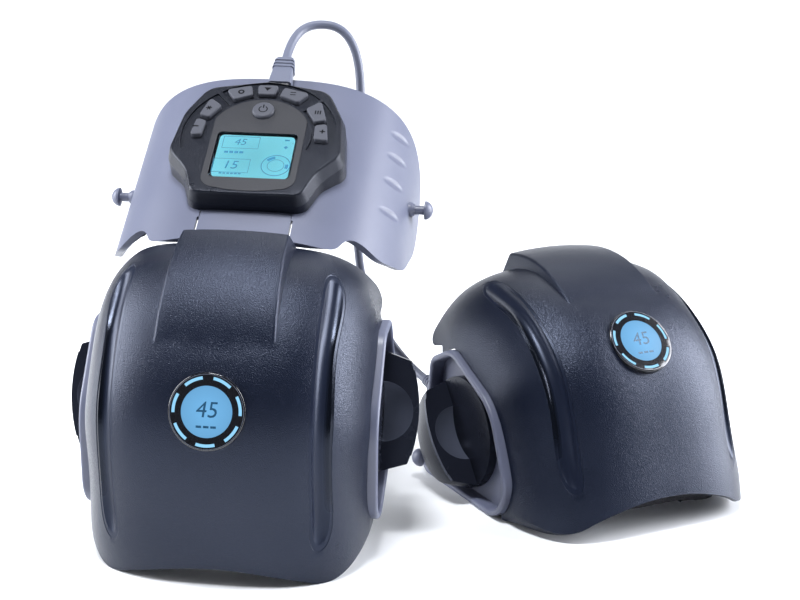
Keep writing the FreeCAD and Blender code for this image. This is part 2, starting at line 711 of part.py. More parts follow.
# ==================================================================== knobs
def knob():
    """Right side knob: round drum cut to a grip, with a ridge and a thumb scoop."""
    low = FLOOR_OUT + KNOB_GAP
    top = low + KNOB_BASE
    middle = dome_points(KNOB_TOP_RADIUS, KNOB_CROWN - KNOB_SHOULDER)[1]
    profile = [
        Part.LineSegment(V(low, 0, 0), V(low, KNOB_RADIUS, 0)),
        Part.LineSegment(V(low, KNOB_RADIUS, 0), V(top, KNOB_RADIUS, 0)),
        Part.LineSegment(V(top, KNOB_RADIUS, 0), V(KNOB_SHOULDER, KNOB_TOP_RADIUS, 0)),
        Part.Arc(
            V(KNOB_SHOULDER, KNOB_TOP_RADIUS, 0), V(KNOB_SHOULDER + middle[1], middle[0], 0),
            V(KNOB_CROWN, 0, 0),
        ),
        Part.LineSegment(V(KNOB_CROWN, 0, 0), V(low, 0, 0)),
    ]
    wire = Part.Wire([edge.toShape() for edge in profile])
    drum = Part.Face(wire).revolve(V(0, 0, 0), X_AXIS, 360)
    shoulder = [
        edge for edge in drum.Edges
        if abs(edge.CenterOfMass.x - KNOB_SHOULDER) < 0.1 and edge.Length > 50
    ]
    drum = drum.makeFillet(1.6, shoulder)
    room = 2 * KNOB_RADIUS
    drum = drum.cut(Part.makeBox(room, room, 2 * room, V(top, -room, -room)))
    dome_radius = cap_radius(KNOB_TOP_RADIUS, KNOB_CROWN - KNOB_SHOULDER)
    ridge = Part.makeSphere(dome_radius + RIDGE_RISE, V(KNOB_CROWN - dome_radius, 0, 0))
    ridge = ridge.common(
        Part.makeBox(room, RIDGE_WIDTH, 2 * RIDGE_HALF, V(KNOB_SHOULDER - 1, 0, -RIDGE_HALF))
    )
    ball_radius = cap_radius(SCOOP_RADIUS, SCOOP_DEPTH)
    ball = Part.makeSphere(ball_radius, V(top, SCOOP_DEPTH - ball_radius, 0))
    ball = ball.common(Part.makeBox(room, 2 * room, 2 * room, V(top, -room, -room)))
    deep = 1 + PIN_LENGTH - KNOB_GAP + PIN_END
    bore = Part.makeCylinder(PIN_RADIUS + RUN_CLEARANCE, deep, V(low - 1, 0, 0), X_AXIS)
    drum = drum.fuse(ridge).cut([ball, bore])
    drum.rotate(V(0, 0, 0), X_AXIS, -KNOB_TURN)
    drum.translate(V(0, KNOB_Y, KNOB_Z))
    return lump(drum)


def cap_radius(half, rise):
    """Radius of the sphere whose cap has this half width and rise."""
    return (half ** 2 + rise ** 2) / (2 * rise)


def dome_points(half, rise):
    """Height of a spherical cap's crown and a point half way up its arc."""
    radius = cap_radius(half, rise)
    turn = math.asin(half / radius) / 2
    return rise, (radius * math.sin(turn), radius * math.cos(turn) - radius + rise)


def strap_stud(foot):
    """Mushroom stud on z: dished flange, shaft and domed head."""
    top = foot + STUD_LENGTH
    brim = top + HEAD_LIP + HEAD_BRIM
    crown, middle = dome_points(STUD_HEAD, STUD_RISE)
    profile = [
        V(0, 0, 0), V(STUD_FLANGE, 0, 0), V(STUD_FLANGE, 0, foot * 0.55),
        V(STUD_FLANGE - 1.2, 0, foot), V(STUD_SHAFT, 0, foot),
        V(STUD_SHAFT, 0, top), V(STUD_HEAD, 0, top + HEAD_LIP), V(STUD_HEAD, 0, brim),
    ]
    lines = [Part.LineSegment(a, b).toShape() for a, b in zip(profile, profile[1:])]
    peak = V(0, 0, brim + crown)
    dome = Part.Arc(profile[-1], V(middle[0], 0, brim + middle[1]), peak).toShape()
    close = Part.LineSegment(peak, profile[0]).toShape()
    stud = Part.Face(Part.Wire(lines + [dome, close])).revolve(V(0, 0, 0), Z_AXIS, 360)
    return lump(stud)


def ear_stud():
    """Stud standing on the right ear's floor, pointing outwards."""
    stud = strap_stud(EAR_STUD_FOOT)
    stud.Placement = FreeCAD.Placement(
        V(FLOOR_OUT, STUD_Y, STUD_Z), FreeCAD.Rotation(Y_AXIS, 90)
    )
    return stud


# ========================================================== inside the unit
def heat_cool_module(bed):
    """Thermoelectric module with its finned sink, seated on the frame."""
    half = MODULE_SIZE / 2
    face_y = KNEE_Y - shin_values(MODULE_Z)[0] + FRAME_FRONT
    block = Part.makeBox(
        MODULE_SIZE, MODULE_DEPTH + 8, MODULE_SIZE,
        V(-half, face_y - MODULE_DEPTH, MODULE_Z - half),
    )
    slots = []
    pitch = 5.0
    for index in range(7):
        x = -half + pitch * (index + 0.8)
        corner = V(x, face_y - MODULE_DEPTH, MODULE_Z - half)
        slots.append(Part.makeBox(2.2, 5.0, MODULE_SIZE, corner))
    return lump(block.cut(bed).cut(slots))


def vibration_motor(bed):
    """Small round motor lying across the frame above the display."""
    reach = knee_values(MOTOR_ANGLE)[0] - FRAME_FRONT + MOTOR_RADIUS - 1.0
    start = fan_point(-MOTOR_LENGTH / 2, reach, MOTOR_ANGLE)
    motor = Part.makeCylinder(MOTOR_RADIUS, MOTOR_LENGTH, start, X_AXIS)
    return lump(motor.cut(bed))


# =============================================================== knee units
def knee_unit():
    """All pieces of one knee unit in the unit's frame, by name."""
    outer = helmet()
    grooves = [groove_path(-1), groove_path(1)]
    bed = helmet(FRAME_FRONT, FRAME_SIDE, CORE - 10, FRAME_SQUARE)
    bed_inside = helmet(
        FRAME_FRONT + FRAME_WALL, FRAME_SIDE + FRAME_WALL, CORE - 18, FRAME_SQUARE, 4.0
    )
    trim = groove_trim(helmet(0.3, 0.3), grooves[0])
    right_knob = knob()
    right_stud = ear_stud()
    pieces = {
        "front_shell": front_shell(outer, hood(), grooves),
        "groove_trim_left": trim,
        "groove_trim_right": mirrored(trim),
        "display_bezel": display_place(display_bezel()),
        "display_light_ring": display_place(display_light_ring()),
        "display_lens": display_place(display_lens()),
        "display_board": display_place(display_board()),
        "inner_frame": inner_frame(bed, bed_inside),
        "liner_pad": liner_pad(),
        "heat_cool_module": heat_cool_module(bed),
        "vibration_motor": vibration_motor(bed),
        "knob_right": right_knob,
        "knob_left": mirrored(right_knob),
        "strap_stud_right": right_stud,
        "strap_stud_left": mirrored(right_stud),
    }
    return pieces


# ============================================================== thigh plate
def arch_edge(half, drop, top, y):
    """Half superellipse across the thigh, highest at z = top."""
    points = []
    for index in range(21):
        turn = math.pi * index / 20
        cosine = math.cos(turn)
        across = math.copysign(abs(cosine) ** (2 / PLATE_SQUARE), cosine)
        rise = abs(math.sin(turn)) ** (2 / PLATE_SQUARE)
        points.append(V(half * across, y, top - drop * (1 - rise)))
    return points


def arch_block(inset, low, high):
    """Solid under the thigh plate's arch, inset from its outer face."""
    points = arch_edge(PLATE_HALF - inset, PLATE_DROP, -inset, low)
    foot = Part.LineSegment(points[-1], points[0]).toShape()
    return prism(Part.Wire([spline(points), foot]), V(0, high - low, 0))


def plate_side_block(share):
    """Block with the plate's side outline, shrunk about its middle by a share."""
    middle = PLATE_TOP / 2
    edge = [V(-FAR, middle + (y - middle) * share, z * share) for y, z in PLATE_EDGE]
    curve = spline(edge)
    top = [edge[-1], V(-FAR, edge[-1].y, 20), V(-FAR, edge[0].y, 20), edge[0]]
    lines = [Part.LineSegment(a, b).toShape() for a, b in zip(top, top[1:])]
    return prism(Part.Wire([curve] + lines), V(2 * FAR, 0, 0))


def hinge_point():
    """The thigh hinge's axis in the plate's frame: up and out of the plate."""
    lean = math.radians(PLATE_LEAN)
    dy = HINGE_Y - PLATE_Y
    dz = HINGE_Z - PLATE_Z
    up = dy * math.sin(lean) + dz * math.cos(lean)
    out = -dy * math.cos(lean) + dz * math.sin(lean)
    return up, out


def thigh_plate():
    """Blue-grey saddle over the thigh with a notch for the tongue."""
    plate = arch_block(0.0, -10, 170).cut(arch_block(PLATE_WALL, -11, 171))
    plate = plate.common(plate_side_block(1.0))
    half = TAB_HALF + TAB_SEAM
    notch = Part.makeBox(2 * half, TAB_TOP + TAB_SEAM + 20, 30, V(-half, -20, -20))
    slits = []
    for side in (-1, 1):
        x = side * half - (0 if side > 0 else SLIT_WIDTH)
        slits.append(Part.makeBox(SLIT_WIDTH, SLIT_TOP + 20, 30, V(x, -20, -20)))
    return lump(plate.cut([notch] + slits))


def thigh_pad():
    """Soft pad under the saddle."""
    pad = arch_block(PLATE_WALL, 0, 140).cut(arch_block(PLATE_WALL + THIGH_PAD, -1, 141))
    pad = pad.common(plate_side_block(PAD_SHARE))
    half = TAB_HALF + TAB_SEAM + 3.0
    room = Part.makeBox(2 * half, STRAP_TOP + 11, 30, V(-half, -10, -25))
    return lump(pad.cut(room))


def hinge_tongue():
    """Tongue that joins the saddle to the hinge pin under the hood."""
    up, out = hinge_point()
    half = LUG_IN - KNUCKLE_GAP
    knuckle = Part.makeCylinder(KNUCKLE_RADIUS, 2 * half, V(-half, up, out), X_AXIS)
    bore = Part.makeCylinder(HINGE_PIN_RADIUS + RUN_CLEARANCE, 80, V(-40, up, out), X_AXIS)
    under = TAB_SEAM + TAB_THICK
    tab = arch_block(TAB_SEAM, up + 2, TAB_TOP).cut(arch_block(under, up, TAB_TOP + 1))
    tab = tab.common(Part.makeBox(2 * TAB_HALF, 80, 20, V(-TAB_HALF, up, -19)))
    strap_low = PLATE_WALL + STRAP_GAP
    strap = arch_block(strap_low, 6, STRAP_TOP)
    strap = strap.cut(arch_block(strap_low + STRAP_THICK, 5, STRAP_TOP + 1))
    strap = strap.common(Part.makeBox(2 * STRAP_HALF, 80, 20, V(-STRAP_HALF, 0, -19)))
    web = Part.makeBox(
        2 * TAB_HALF - 2, WEB_LENGTH, WEB_THICK, V(-TAB_HALF + 1, up - 1, -under - 0.4)
    )
    solid = tab.fuse([strap, web, knuckle])
    return lump(solid.cut(bore))


def plate_stud(side):
    """Strap stud on the saddle's side wall."""
    up, out = PLATE_STUD
    stud = strap_stud(PLATE_STUD_FOOT)
    stud.Placement = FreeCAD.Placement(
        V(side * (PLATE_HALF - PLATE_STUD_FOOT), up, out), FreeCAD.Rotation(V(0, side, 0), 90)
    )
    return lump(stud.cut(arch_block(0.0, -10, 170)))


# =============================================================== controller
def case_wire(inset, z):
    """Shield outline of the controller's case at a height."""
    right = list(CASE_HALF)
    left = [(-x, y, r) for x, y, r in reversed(right[1:-1])]
    wire = rounded_wire(right + left, plan_put(z))
    if inset:
        wire = wire.makeOffset2D(-inset)
    return wire


def polar(radius, angle):
    """Point on the keys' arc."""
    turn = math.radians(angle)
    return radius * math.cos(turn), KEY_CENTRE + radius * math.sin(turn)


def key_wire(key, grow, z):
    """Rounded four-sided outline of an arc key, grown by a distance."""
    _, start, end, first_out, last_out = key
    spread = math.degrees(grow / (KEY_IN + 4))
    corners = []
    for reach, angle in (
        (KEY_IN - grow, start - spread), (first_out + grow, start - spread),
        (last_out + grow, end + spread), (KEY_IN - grow, end + spread),
    ):
        x, y = polar(reach, angle)
        corners.append((x, y, KEY_CORNER + grow))
    return rounded_wire(corners, plan_put(z))


def island_block(start, end, low, high):
    """Recess that holds a group of keys."""
    middle = (start + end) / 2
    edges = []
    points = []
    for reach, angles in ((ISLAND_IN, (start, middle, end)), (ISLAND_OUT, (end, middle, start))):
        points.append([V(*polar(reach, angle), low) for angle in angles])
    edges.append(Part.Arc(*points[0]).toShape())
    edges.append(Part.LineSegment(points[0][2], points[1][0]).toShape())
    edges.append(Part.Arc(*points[1]).toShape())
    edges.append(Part.LineSegment(points[1][2], points[0][0]).toShape())
    return prism(Part.Wire(edges), V(0, 0, high - low))


def key_block(key, grow, low, high):
    """Key body or, grown, the hole it slides in."""
    return prism(key_wire(key, grow, low), V(0, 0, high - low))


def insert_wire(inset, z):
    """Arched outline of the face insert round the display and power key."""
    half = INSERT_HALF - inset
    arch = INSERT_ARCH - inset
    shoulder = KEY_CENTRE + math.sqrt(arch ** 2 - half ** 2)
    low = INSERT_LOW + inset
    put = plan_put(z)
    in_x = half - INSERT_CORNER
    foot = low + INSERT_BELLY
    side = foot + INSERT_CORNER
    bend = INSERT_CORNER * (1 - math.sqrt(0.5))
    crown = Part.Arc(put(half, shoulder), put(0, KEY_CENTRE + arch), put(-half, shoulder))
    belly = Part.Arc(put(-in_x, foot), put(0, low), put(in_x, foot))
    left_corner = Part.Arc(put(-half, side), put(-half + bend, foot + bend), put(-in_x, foot))
    right_corner = Part.Arc(put(in_x, foot), put(half - bend, foot + bend), put(half, side))
    left = Part.LineSegment(put(-half, shoulder), put(-half, side))
    right = Part.LineSegment(put(half, side), put(half, shoulder))
    edges = [crown, left, left_corner, belly, right_corner, right]
    return Part.Wire([edge.toShape() for edge in edges])


def glass_wire(grow, z):
    """Rounded outline of the display's glass."""
    half = GLASS_HALF + grow
    corners = (
        (-half, GLASS_LOW - grow, 3.0), (half, GLASS_LOW - grow, 3.0),
        (half, GLASS_HIGH + grow, 3.0), (-half, GLASS_HIGH + grow, 3.0),
    )
    return rounded_wire(corners, plan_put(z))


def base_case():
    """Lower half of the controller's case, seated on the saddle."""
    body = prism(case_wire(0.0, -12), V(0, 0, 12 + CASE_SPLIT))
    room = prism(case_wire(CASE_WALL, CASE_FLOOR), V(0, 0, 12))
    body = body.cut([arch_block(0.0, -10, 170), room])
    return lump(body.cut(socket_block(SOCKET_ROOM)))


def top_case():
    """Upper half with key islands, insert bed and draft on its sides."""
    drafted = Part.makeLoft([case_wire(0.0, CASE_SPLIT), case_wire(CASE_DRAFT, CASE_TOP)], True, True)
    rim = [edge for edge in drafted.Edges if edge.BoundBox.ZMin > CASE_TOP - 0.01]
    body = drafted.makeFillet(CASE_ROUND, rim)
    inner_low = case_wire(CASE_WALL, CASE_SPLIT - 1)
    inner_high = case_wire(CASE_DRAFT + CASE_WALL, CASE_TOP - CASE_WALL)
    room = Part.makeLoft([inner_low, inner_high], True, True)
    tools = [room]
    tools += [island_block(a, b, CASE_TOP - ISLAND_DEPTH, CASE_TOP + 5) for a, b in ISLANDS]
    tools += [key_block(key, KEY_GAP, CASE_SPLIT, CASE_TOP + 5) for key in KEYS]
    tools.append(prism(insert_wire(0.0, CASE_TOP - INSERT_THICK), V(0, 0, 5)))
    tools.append(prism(glass_wire(-1.5, CASE_SPLIT), V(0, 0, 20)))
    tools.append(Part.makeCylinder(POWER_RADIUS + KEY_GAP, 20, V(0, POWER_HEIGHT, CASE_SPLIT)))
    tools.append(socket_block(SOCKET_ROOM))
    return lump(body.cut(tools))


def face_insert():
    """Thin arched plate round the display, flush with the case."""
    plate = prism(insert_wire(0.0, CASE_TOP - INSERT_THICK), V(0, 0, INSERT_THICK + INSERT_PROUD))
    hole = prism(glass_wire(0.0, CASE_TOP - 5), V(0, 0, 10))
    round_hole = Part.makeCylinder(POWER_RADIUS + KEY_GAP, 20, V(0, POWER_HEIGHT, CASE_SPLIT))
    return lump(plate.cut([hole, round_hole]))


def controller_key(key):
    """Arc key with rounded upper edges."""
    low = CASE_TOP - KEY_FOOT - 1.0
    cap = key_block(key, 0.0, low, CASE_TOP + KEY_HEIGHT)
    rim = [edge for edge in cap.Edges if edge.BoundBox.ZMin > CASE_TOP + KEY_HEIGHT - 0.01]
    return lump(cap.makeFillet(KEY_ROUND, rim))


def power_key():
    """Round power key with a domed, rounded face."""
    low = CASE_TOP - KEY_FOOT - 1.0
    high = CASE_TOP + KEY_HEIGHT + 0.4
    cap = Part.makeCylinder(POWER_RADIUS, high - low, V(0, POWER_HEIGHT, low))
    rim = [edge for edge in cap.Edges if edge.CenterOfMass.z > high - 0.01]
    return lump(cap.makeFillet(1.6, rim[:1]))


def controller_board():
    """Board that carries display, key domes and socket."""
    board = prism(case_wire(CASE_WALL + 2.2, BOARD_LEVEL - BOARD_THICK), V(0, 0, BOARD_THICK))
    return lump(board.cut(socket_block(0.0)))


def key_mat():
    """Silicone mat with one dome under each key."""
    outer = Part.makeCylinder(ISLAND_OUT - 1.0, MAT_THICK, V(0, KEY_CENTRE, BOARD_LEVEL))
    inner = Part.makeCylinder(ISLAND_IN - 0.5, 4, V(0, KEY_CENTRE, BOARD_LEVEL - 1))
    below = Part.makeBox(2 * FAR, FAR, 9, V(-FAR, KEY_CENTRE - MAT_BELOW - FAR, BOARD_LEVEL - 1))
    mat = outer.cut([inner, below])
    post_top = CASE_TOP - KEY_FOOT - 1.0 - KEY_TRAVEL - 0.1
    domes = []
    for _, start, end, first_out, last_out in KEYS:
        middle = (2 * KEY_IN + first_out + last_out) / 4
        x, y = polar(middle, (start + end) / 2)
        domes.append(Part.makeCone(3.0, 2.2, post_top - BOARD_LEVEL, V(x, y, BOARD_LEVEL)))
    reach = KEY_CENTRE + ISLAND_IN + 2 - POWER_HEIGHT
    bridge = Part.makeBox(6, reach, MAT_THICK, V(-3, POWER_HEIGHT, BOARD_LEVEL))
    domes.append(Part.makeCone(3.0, 2.2, post_top - BOARD_LEVEL, V(0, POWER_HEIGHT, BOARD_LEVEL)))
    mat = mat.fuse(domes + [bridge]).common(prism(case_wire(CASE_WALL + 3, 0), V(0, 0, 30)))
    return lump(mat.cut(socket_block(0.3)))


def lcd_glass():
    """Display window, flush with the insert."""
    low = CASE_TOP + INSERT_PROUD - GLASS_THICK
    return lump(prism(glass_wire(0.0, low), V(0, 0, GLASS_THICK)))


def lcd_module():
    """Backlit display under the glass."""
    low = BOARD_LEVEL
    high = CASE_TOP + INSERT_PROUD - GLASS_THICK
    return lump(prism(glass_wire(-1.7, low), V(0, 0, high - low)))


def battery():
    """Flat cell under the board."""
    width, length, start = BATTERY_SIZE
    thick = BOARD_LEVEL - BOARD_THICK - CASE_FLOOR
    box = Part.makeBox(width, length, thick, V(-width / 2, start, CASE_FLOOR))
    return lump(box.makeFillet(1.2, [edge for edge in box.Edges if edge.Length < 5]))


def socket_block(grow):
    """Socket's outside or, grown, the hole that the case leaves for it."""
    size = (SOCKET_WIDTH + 2 * grow, SOCKET_DEPTH + 2 * grow, SOCKET_HIGH + 2 * grow)
    start = PLUG_START - SOCKET_DEPTH - grow
    return Part.makeBox(*size, V(PLUG_X - size[0] / 2, start, PLUG_HEIGHT - size[2] / 2))


def plug_socket():
    """Socket at the case's top edge that takes the cord's plug."""
    width = SOCKET_WIDTH - 2 * SOCKET_WALL
    high = SOCKET_HIGH - 2 * SOCKET_WALL
    start = PLUG_START - SOCKET_DEPTH + SOCKET_WALL
    corner = V(PLUG_X - width / 2, start, PLUG_HEIGHT - high / 2)
    return lump(socket_block(0.0).cut(Part.makeBox(width, SOCKET_DEPTH, high, corner)))


def plug():
    """Moulded plug: tapered grip with three ribs."""
    start = PLUG_START

    def frame_wire(width, height, y):
        half_w, half_h = width / 2, height / 2
        corners = (
            (-half_w, -half_h, 2.0), (half_w, -half_h, 2.0),
            (half_w, half_h, 2.0), (-half_w, half_h, 2.0),
        )
        return rounded_wire(corners, lambda a, b: V(PLUG_X + a, y, PLUG_HEIGHT + b))
    front = frame_wire(*PLUG_FRONT, start)
    waist = frame_wire(PLUG_FRONT[0], PLUG_FRONT[1], start + 5)
    back = frame_wire(*PLUG_BACK, start + PLUG_BODY)
    body = Part.makeLoft([front, waist], True, True).fuse(Part.makeLoft([waist, back], True, True))
    ribs = []
    for index in range(3):
        y = start + PLUG_BODY - 2.0 - 3.2 * index
        grow = 0.35 * index
        rib = frame_wire(PLUG_BACK[0] + 1.6 + 2 * grow, PLUG_BACK[1] + 1.4, y - 1.4)
        ribs.append(prism(rib, V(0, 1.4, 0)))
    return lump(body.fuse(ribs))


def plug_contact_shell():
    """Metal shell of the plug, inside the socket."""
    width = SOCKET_WIDTH - 2 * (SOCKET_WALL + CONTACT_GAP)
    high = SOCKET_HIGH - 2 * (SOCKET_WALL + CONTACT_GAP)
    depth = SOCKET_DEPTH - SOCKET_WALL - CONTACT_GAP
    blocks = []
    for wall in (0.0, CONTACT_WALL):
        corner = V(PLUG_X - width / 2 + wall, PLUG_START - depth - wall, PLUG_HEIGHT - high / 2 + wall)
        blocks.append(Part.makeBox(width - 2 * wall, depth, high - 2 * wall, corner))
    return lump(blocks[0].cut(blocks[1]))


# ===================================================================== cord
def gland_foot():
    """Foot and outward direction of the gland on the second unit's left ear."""
    low = ear_corners()[1]
    high = ear_corners()[2]
    share = (high[1] - GLAND_Z) / (high[1] - low[1])
    foot = V(GLAND_X, high[0] + (low[0] - high[0]) * share, GLAND_Z)
    out = V(0, high[1] - low[1], low[0] - high[0]).normalize()
    return foot, out


def gland():
    """Tapered strain relief that lets the cord into the ear."""
    foot, out = gland_foot()
    neck = Part.makeCylinder(GLAND_RADIUS + 1.2, 2.0, foot, out)
    cone = Part.makeCone(GLAND_RADIUS, GLAND_TIP, GLAND_LENGTH, foot, out)
    rings = []
    for index in range(3):
        at = foot + out * (4.2 + 3.0 * index)
        ring = Part.makeCylinder(GLAND_RADIUS + 1, 1.2, at, out)
        core = Part.makeCylinder(GLAND_TIP - 0.1, 1.2, at, out)
        rings.append(ring.cut(core))
    return lump(neck.fuse(cone).cut(rings))


def cord_path():
    """Cord's corners in the part's frame, from the plug to the gland."""
    start = plate_place().multVec(V(PLUG_X, PLUG_START + PLUG_BODY + CORD_GAP, PLUG_HEIGHT))
    foot, out = gland_foot()
    end = second_place().multVec(foot + out * GLAND_LENGTH)
    corners = [main_place().multVec(V(*point)) for point in CORD_CORNERS]
    return [start] + corners + [end]


def link_cord():
    """Round cord of straight runs joined by tangent arcs."""
    points = cord_path()
    edges = []
    radii = []
    at = points[0]
    for before, corner, after in zip(points, points[1:], points[2:]):
        back = (before - corner).normalize()
        ahead = (after - corner).normalize()
        half_turn = (math.pi - back.getAngle(ahead)) / 2
        run = CORD_SHARE * min(before.distanceToPoint(corner), after.distanceToPoint(corner))
        radius = run / math.tan(half_turn)
        radii.append(round(radius, 1))
        start = corner + back * run
        end = corner + ahead * run
        bisector = (back + ahead).normalize()
        middle = corner + bisector * (radius / math.cos(half_turn) - radius)
        edges.append(Part.LineSegment(at, start).toShape())
        edges.append(Part.Arc(start, middle, end).toShape())
        at = end
    edges.append(Part.LineSegment(at, points[-1]).toShape())
    path = Part.Wire(edges)
    print("cord radii", radii, "length", round(path.Length, 1))
    cord = pipe(path, CORD_DIAMETER / 2)
    section = math.pi * (CORD_DIAMETER / 2) ** 2
    print("cord volume share", round(cord.Volume / (section * path.Length), 4))
    return lump(cord)


def thigh_assembly():
    """Saddle, tongue, controller and plug in the plate's frame, by name."""
    pieces = {
        "thigh_plate": thigh_plate(),
        "thigh_pad": thigh_pad(),
        "hinge_tongue": hinge_tongue(),
        "thigh_stud_right": plate_stud(1),
        "thigh_stud_left": plate_stud(-1),
        "controller_base_case": base_case(),
        "controller_top_case": top_case(),
        "controller_face_insert": face_insert(),
        "controller_lcd_glass": lcd_glass(),
        "controller_lcd_module": lcd_module(),
        "controller_board": controller_board(),
        "controller_key_mat": key_mat(),
        "controller_battery": battery(),
        "controller_socket": plug_socket(),
        "key_power": power_key(),
        "link_plug": plug(),
        "link_plug_contacts": plug_contact_shell(),
    }
    for key in KEYS:
        pieces[key[0]] = controller_key(key)
    return pieces


# ================================================================== placing
def main_place():
    """Main unit's frame in the part's frame."""
    return FreeCAD.Placement(V(MAIN_X, MAIN_Y, DISPLAY_HEIGHT), FreeCAD.Rotation())


def second_place():
    """Second unit's frame: tilted back onto its ears' feet, then turned."""
    rake = math.radians(RAKE)
    foot = EAR_FOOT[0] * -math.sin(rake) + EAR_FOOT[1] * math.cos(rake)
    turn = FreeCAD.Rotation(Z_AXIS, SECOND_YAW).multiply(FreeCAD.Rotation(X_AXIS, -RAKE))
    x, y = SECOND_APART
    return FreeCAD.Placement(V(MAIN_X + x, MAIN_Y + y, -foot), turn)


def plate_place():
    """Thigh plate's frame in the part's frame."""
    local = FreeCAD.Placement(V(0, PLATE_Y, PLATE_Z), FreeCAD.Rotation(X_AXIS, 90 - PLATE_LEAN))
    return main_place().multiply(local)


def write(name, shape):
    """Write one node's STEP file."""
    shape.exportStep("parts/" + name + ".step")


def moved(shape, placement):
    """Shape carried into the part's frame."""
    result = shape.copy()
    result.Placement = placement.multiply(result.Placement)
    return result


def main():
    """Build every node and write its file."""
    os.makedirs("parts", exist_ok=True)
    unit = knee_unit()
    for name, shape in unit.items():
        write("main_" + name, moved(shape, main_place()))
        write("second_" + name, moved(shape, second_place()))
    for name, shape in thigh_assembly().items():
        write(name, moved(shape, plate_place()))
    pin = Part.makeCylinder(
        HINGE_PIN_RADIUS, 2 * (LUG_IN + LUG_THICK), V(-LUG_IN - LUG_THICK, HINGE_Y, HINGE_Z), X_AXIS
    )
    write("thigh_hinge_pin", moved(pin, main_place()))
    write("link_gland", moved(gland(), second_place()))
    write("link_cord", link_cord())


main()
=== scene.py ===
"""Dressed model of a pair of linked knee massagers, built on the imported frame."""
import logging
import math
from abc import ABC, abstractmethod
from dataclasses import dataclass, field
from enum import Enum
from functools import cache
from typing import Callable, ClassVar

import bmesh
import bpy
from mathutils import Matrix, Vector
from mathutils.bvhtree import BVHTree


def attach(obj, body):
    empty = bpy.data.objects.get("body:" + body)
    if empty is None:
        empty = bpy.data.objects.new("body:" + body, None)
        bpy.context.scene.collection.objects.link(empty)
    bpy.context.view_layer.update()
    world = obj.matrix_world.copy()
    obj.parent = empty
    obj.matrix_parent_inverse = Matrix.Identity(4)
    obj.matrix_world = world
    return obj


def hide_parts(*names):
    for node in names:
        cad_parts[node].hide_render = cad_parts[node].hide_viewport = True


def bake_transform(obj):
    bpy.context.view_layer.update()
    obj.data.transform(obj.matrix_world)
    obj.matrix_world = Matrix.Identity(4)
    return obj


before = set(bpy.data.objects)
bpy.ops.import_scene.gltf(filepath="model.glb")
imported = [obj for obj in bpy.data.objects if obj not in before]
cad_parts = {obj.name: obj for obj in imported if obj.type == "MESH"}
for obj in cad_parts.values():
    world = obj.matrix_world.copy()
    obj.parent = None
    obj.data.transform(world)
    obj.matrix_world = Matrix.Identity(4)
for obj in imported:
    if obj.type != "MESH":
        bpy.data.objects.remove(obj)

LOG = logging.getLogger("scene")
MM = 0.001

Triple = tuple[float, float, float]
Colour = Triple
Point = tuple[float, float]
Steps = tuple[int, int, int]
Reals = tuple[float, ...]
Outline = list[Point]
Ray = tuple[Vector, Vector]
Mesh = bpy.types.Mesh
Node = bpy.types.Node
NodeTree = bpy.types.NodeTree
Object = bpy.types.Object
Socket = bpy.types.NodeSocket
Inputs = dict[str | int, object]


# --- Places, repeated from the part's source, in millimetres ---
MAIN_ORIGIN = Vector((-105.834, -155.651, 111.7))
SECOND_ORIGIN = Vector((141.966, 10.049, 117.618))
SECOND_YAW = 33.8
SECOND_RAKE = 28.8
PLATE_LEAN = 56.6
PLATE_FOOT = Vector((0.0, 92.0, 80.0))
KNEE_AXIS = Vector((0.0, 104.0, -45.0))
THIGH_AXIS_Z = -70.0


def turned(degrees: float, axis: str) -> Matrix:
    """Rotation by an angle in degrees about a named axis."""
    return Matrix.Rotation(math.radians(degrees), 4, axis)


def squared(first: Vector, second: Vector) -> Matrix:
    """Rotation with a given first axis, and the second axis near another direction."""
    first = first.normalized()
    second = (second - first * second.dot(first)).normalized()
    return Matrix((first, second, first.cross(second))).transposed().to_4x4()


def main_place() -> Matrix:
    """Frame of the main knee unit, in millimetres."""
    return Matrix.Translation(MAIN_ORIGIN)


def second_place() -> Matrix:
    """Frame of the second knee unit, in millimetres."""
    return Matrix.Translation(SECOND_ORIGIN) @ turned(SECOND_YAW, "Z") @ turned(-SECOND_RAKE, "X")


def plate_place() -> Matrix:
    """Frame of the thigh plate, in millimetres."""
    return main_place() @ Matrix.Translation(PLATE_FOOT) @ turned(90.0 - PLATE_LEAN, "X")


# --- Node trees ---
@dataclass(frozen=True)
class Tree:
    """Adds and links nodes in one shader or geometry node tree."""

    tree: NodeTree

    def node(self, kind: str, inputs: Inputs, **settings: object) -> Node:
        """Adds one node.

        Args:
            kind: Node type, such as ShaderNodeTexNoise.
            inputs: What its inputs get, as in feed.
            **settings: Node properties, set before the inputs.

        Returns:
            The new node.
        """
        node = self.tree.nodes.new(kind)
        for name, value in settings.items():
            setattr(node, name, value)
        self.feed(node, inputs)
        return node

    def add(self, kind: str, inputs: Inputs, out: str | int = 0, **settings: object) -> Socket:
        """Adds one node, as in node, and gives the output that out names."""
        return self.node(kind, inputs, **settings).outputs[out]

    def feed(self, node: Node, inputs: Inputs) -> None:
        """Links or sets a node's inputs.

        Args:
            node: The node.
            inputs: A socket to link or a value to set, by input name or number.
        """
        for key, value in inputs.items():
            if isinstance(value, Socket):
                self.tree.links.new(value, node.inputs[key])
            else:
                node.inputs[key].default_value = value

    def math(self, operation: str, first: Socket | float, *others: Socket | float) -> Socket:
        """Runs a math operation on one value, or on several from left to right.

        Args:
            operation: Operation of the math nodes.
            first: First or only value.
            *others: Values that follow.

        Returns:
            The result.
        """
        if not others:
            return self.add("ShaderNodeMath", {0: first}, operation=operation)
        for other in others:
            first = self.add("ShaderNodeMath", {0: first, 1: other}, operation=operation)
        return first

    def length(self, vector: Socket) -> Socket:
        """Length of a vector."""
        return self.add("ShaderNodeVectorMath", {0: vector}, "Value", operation="LENGTH")

    def position(self) -> Socket:
        """Object coordinates, which are the part's frame in metres."""
        return self.add("ShaderNodeTexCoord", {}, "Object")


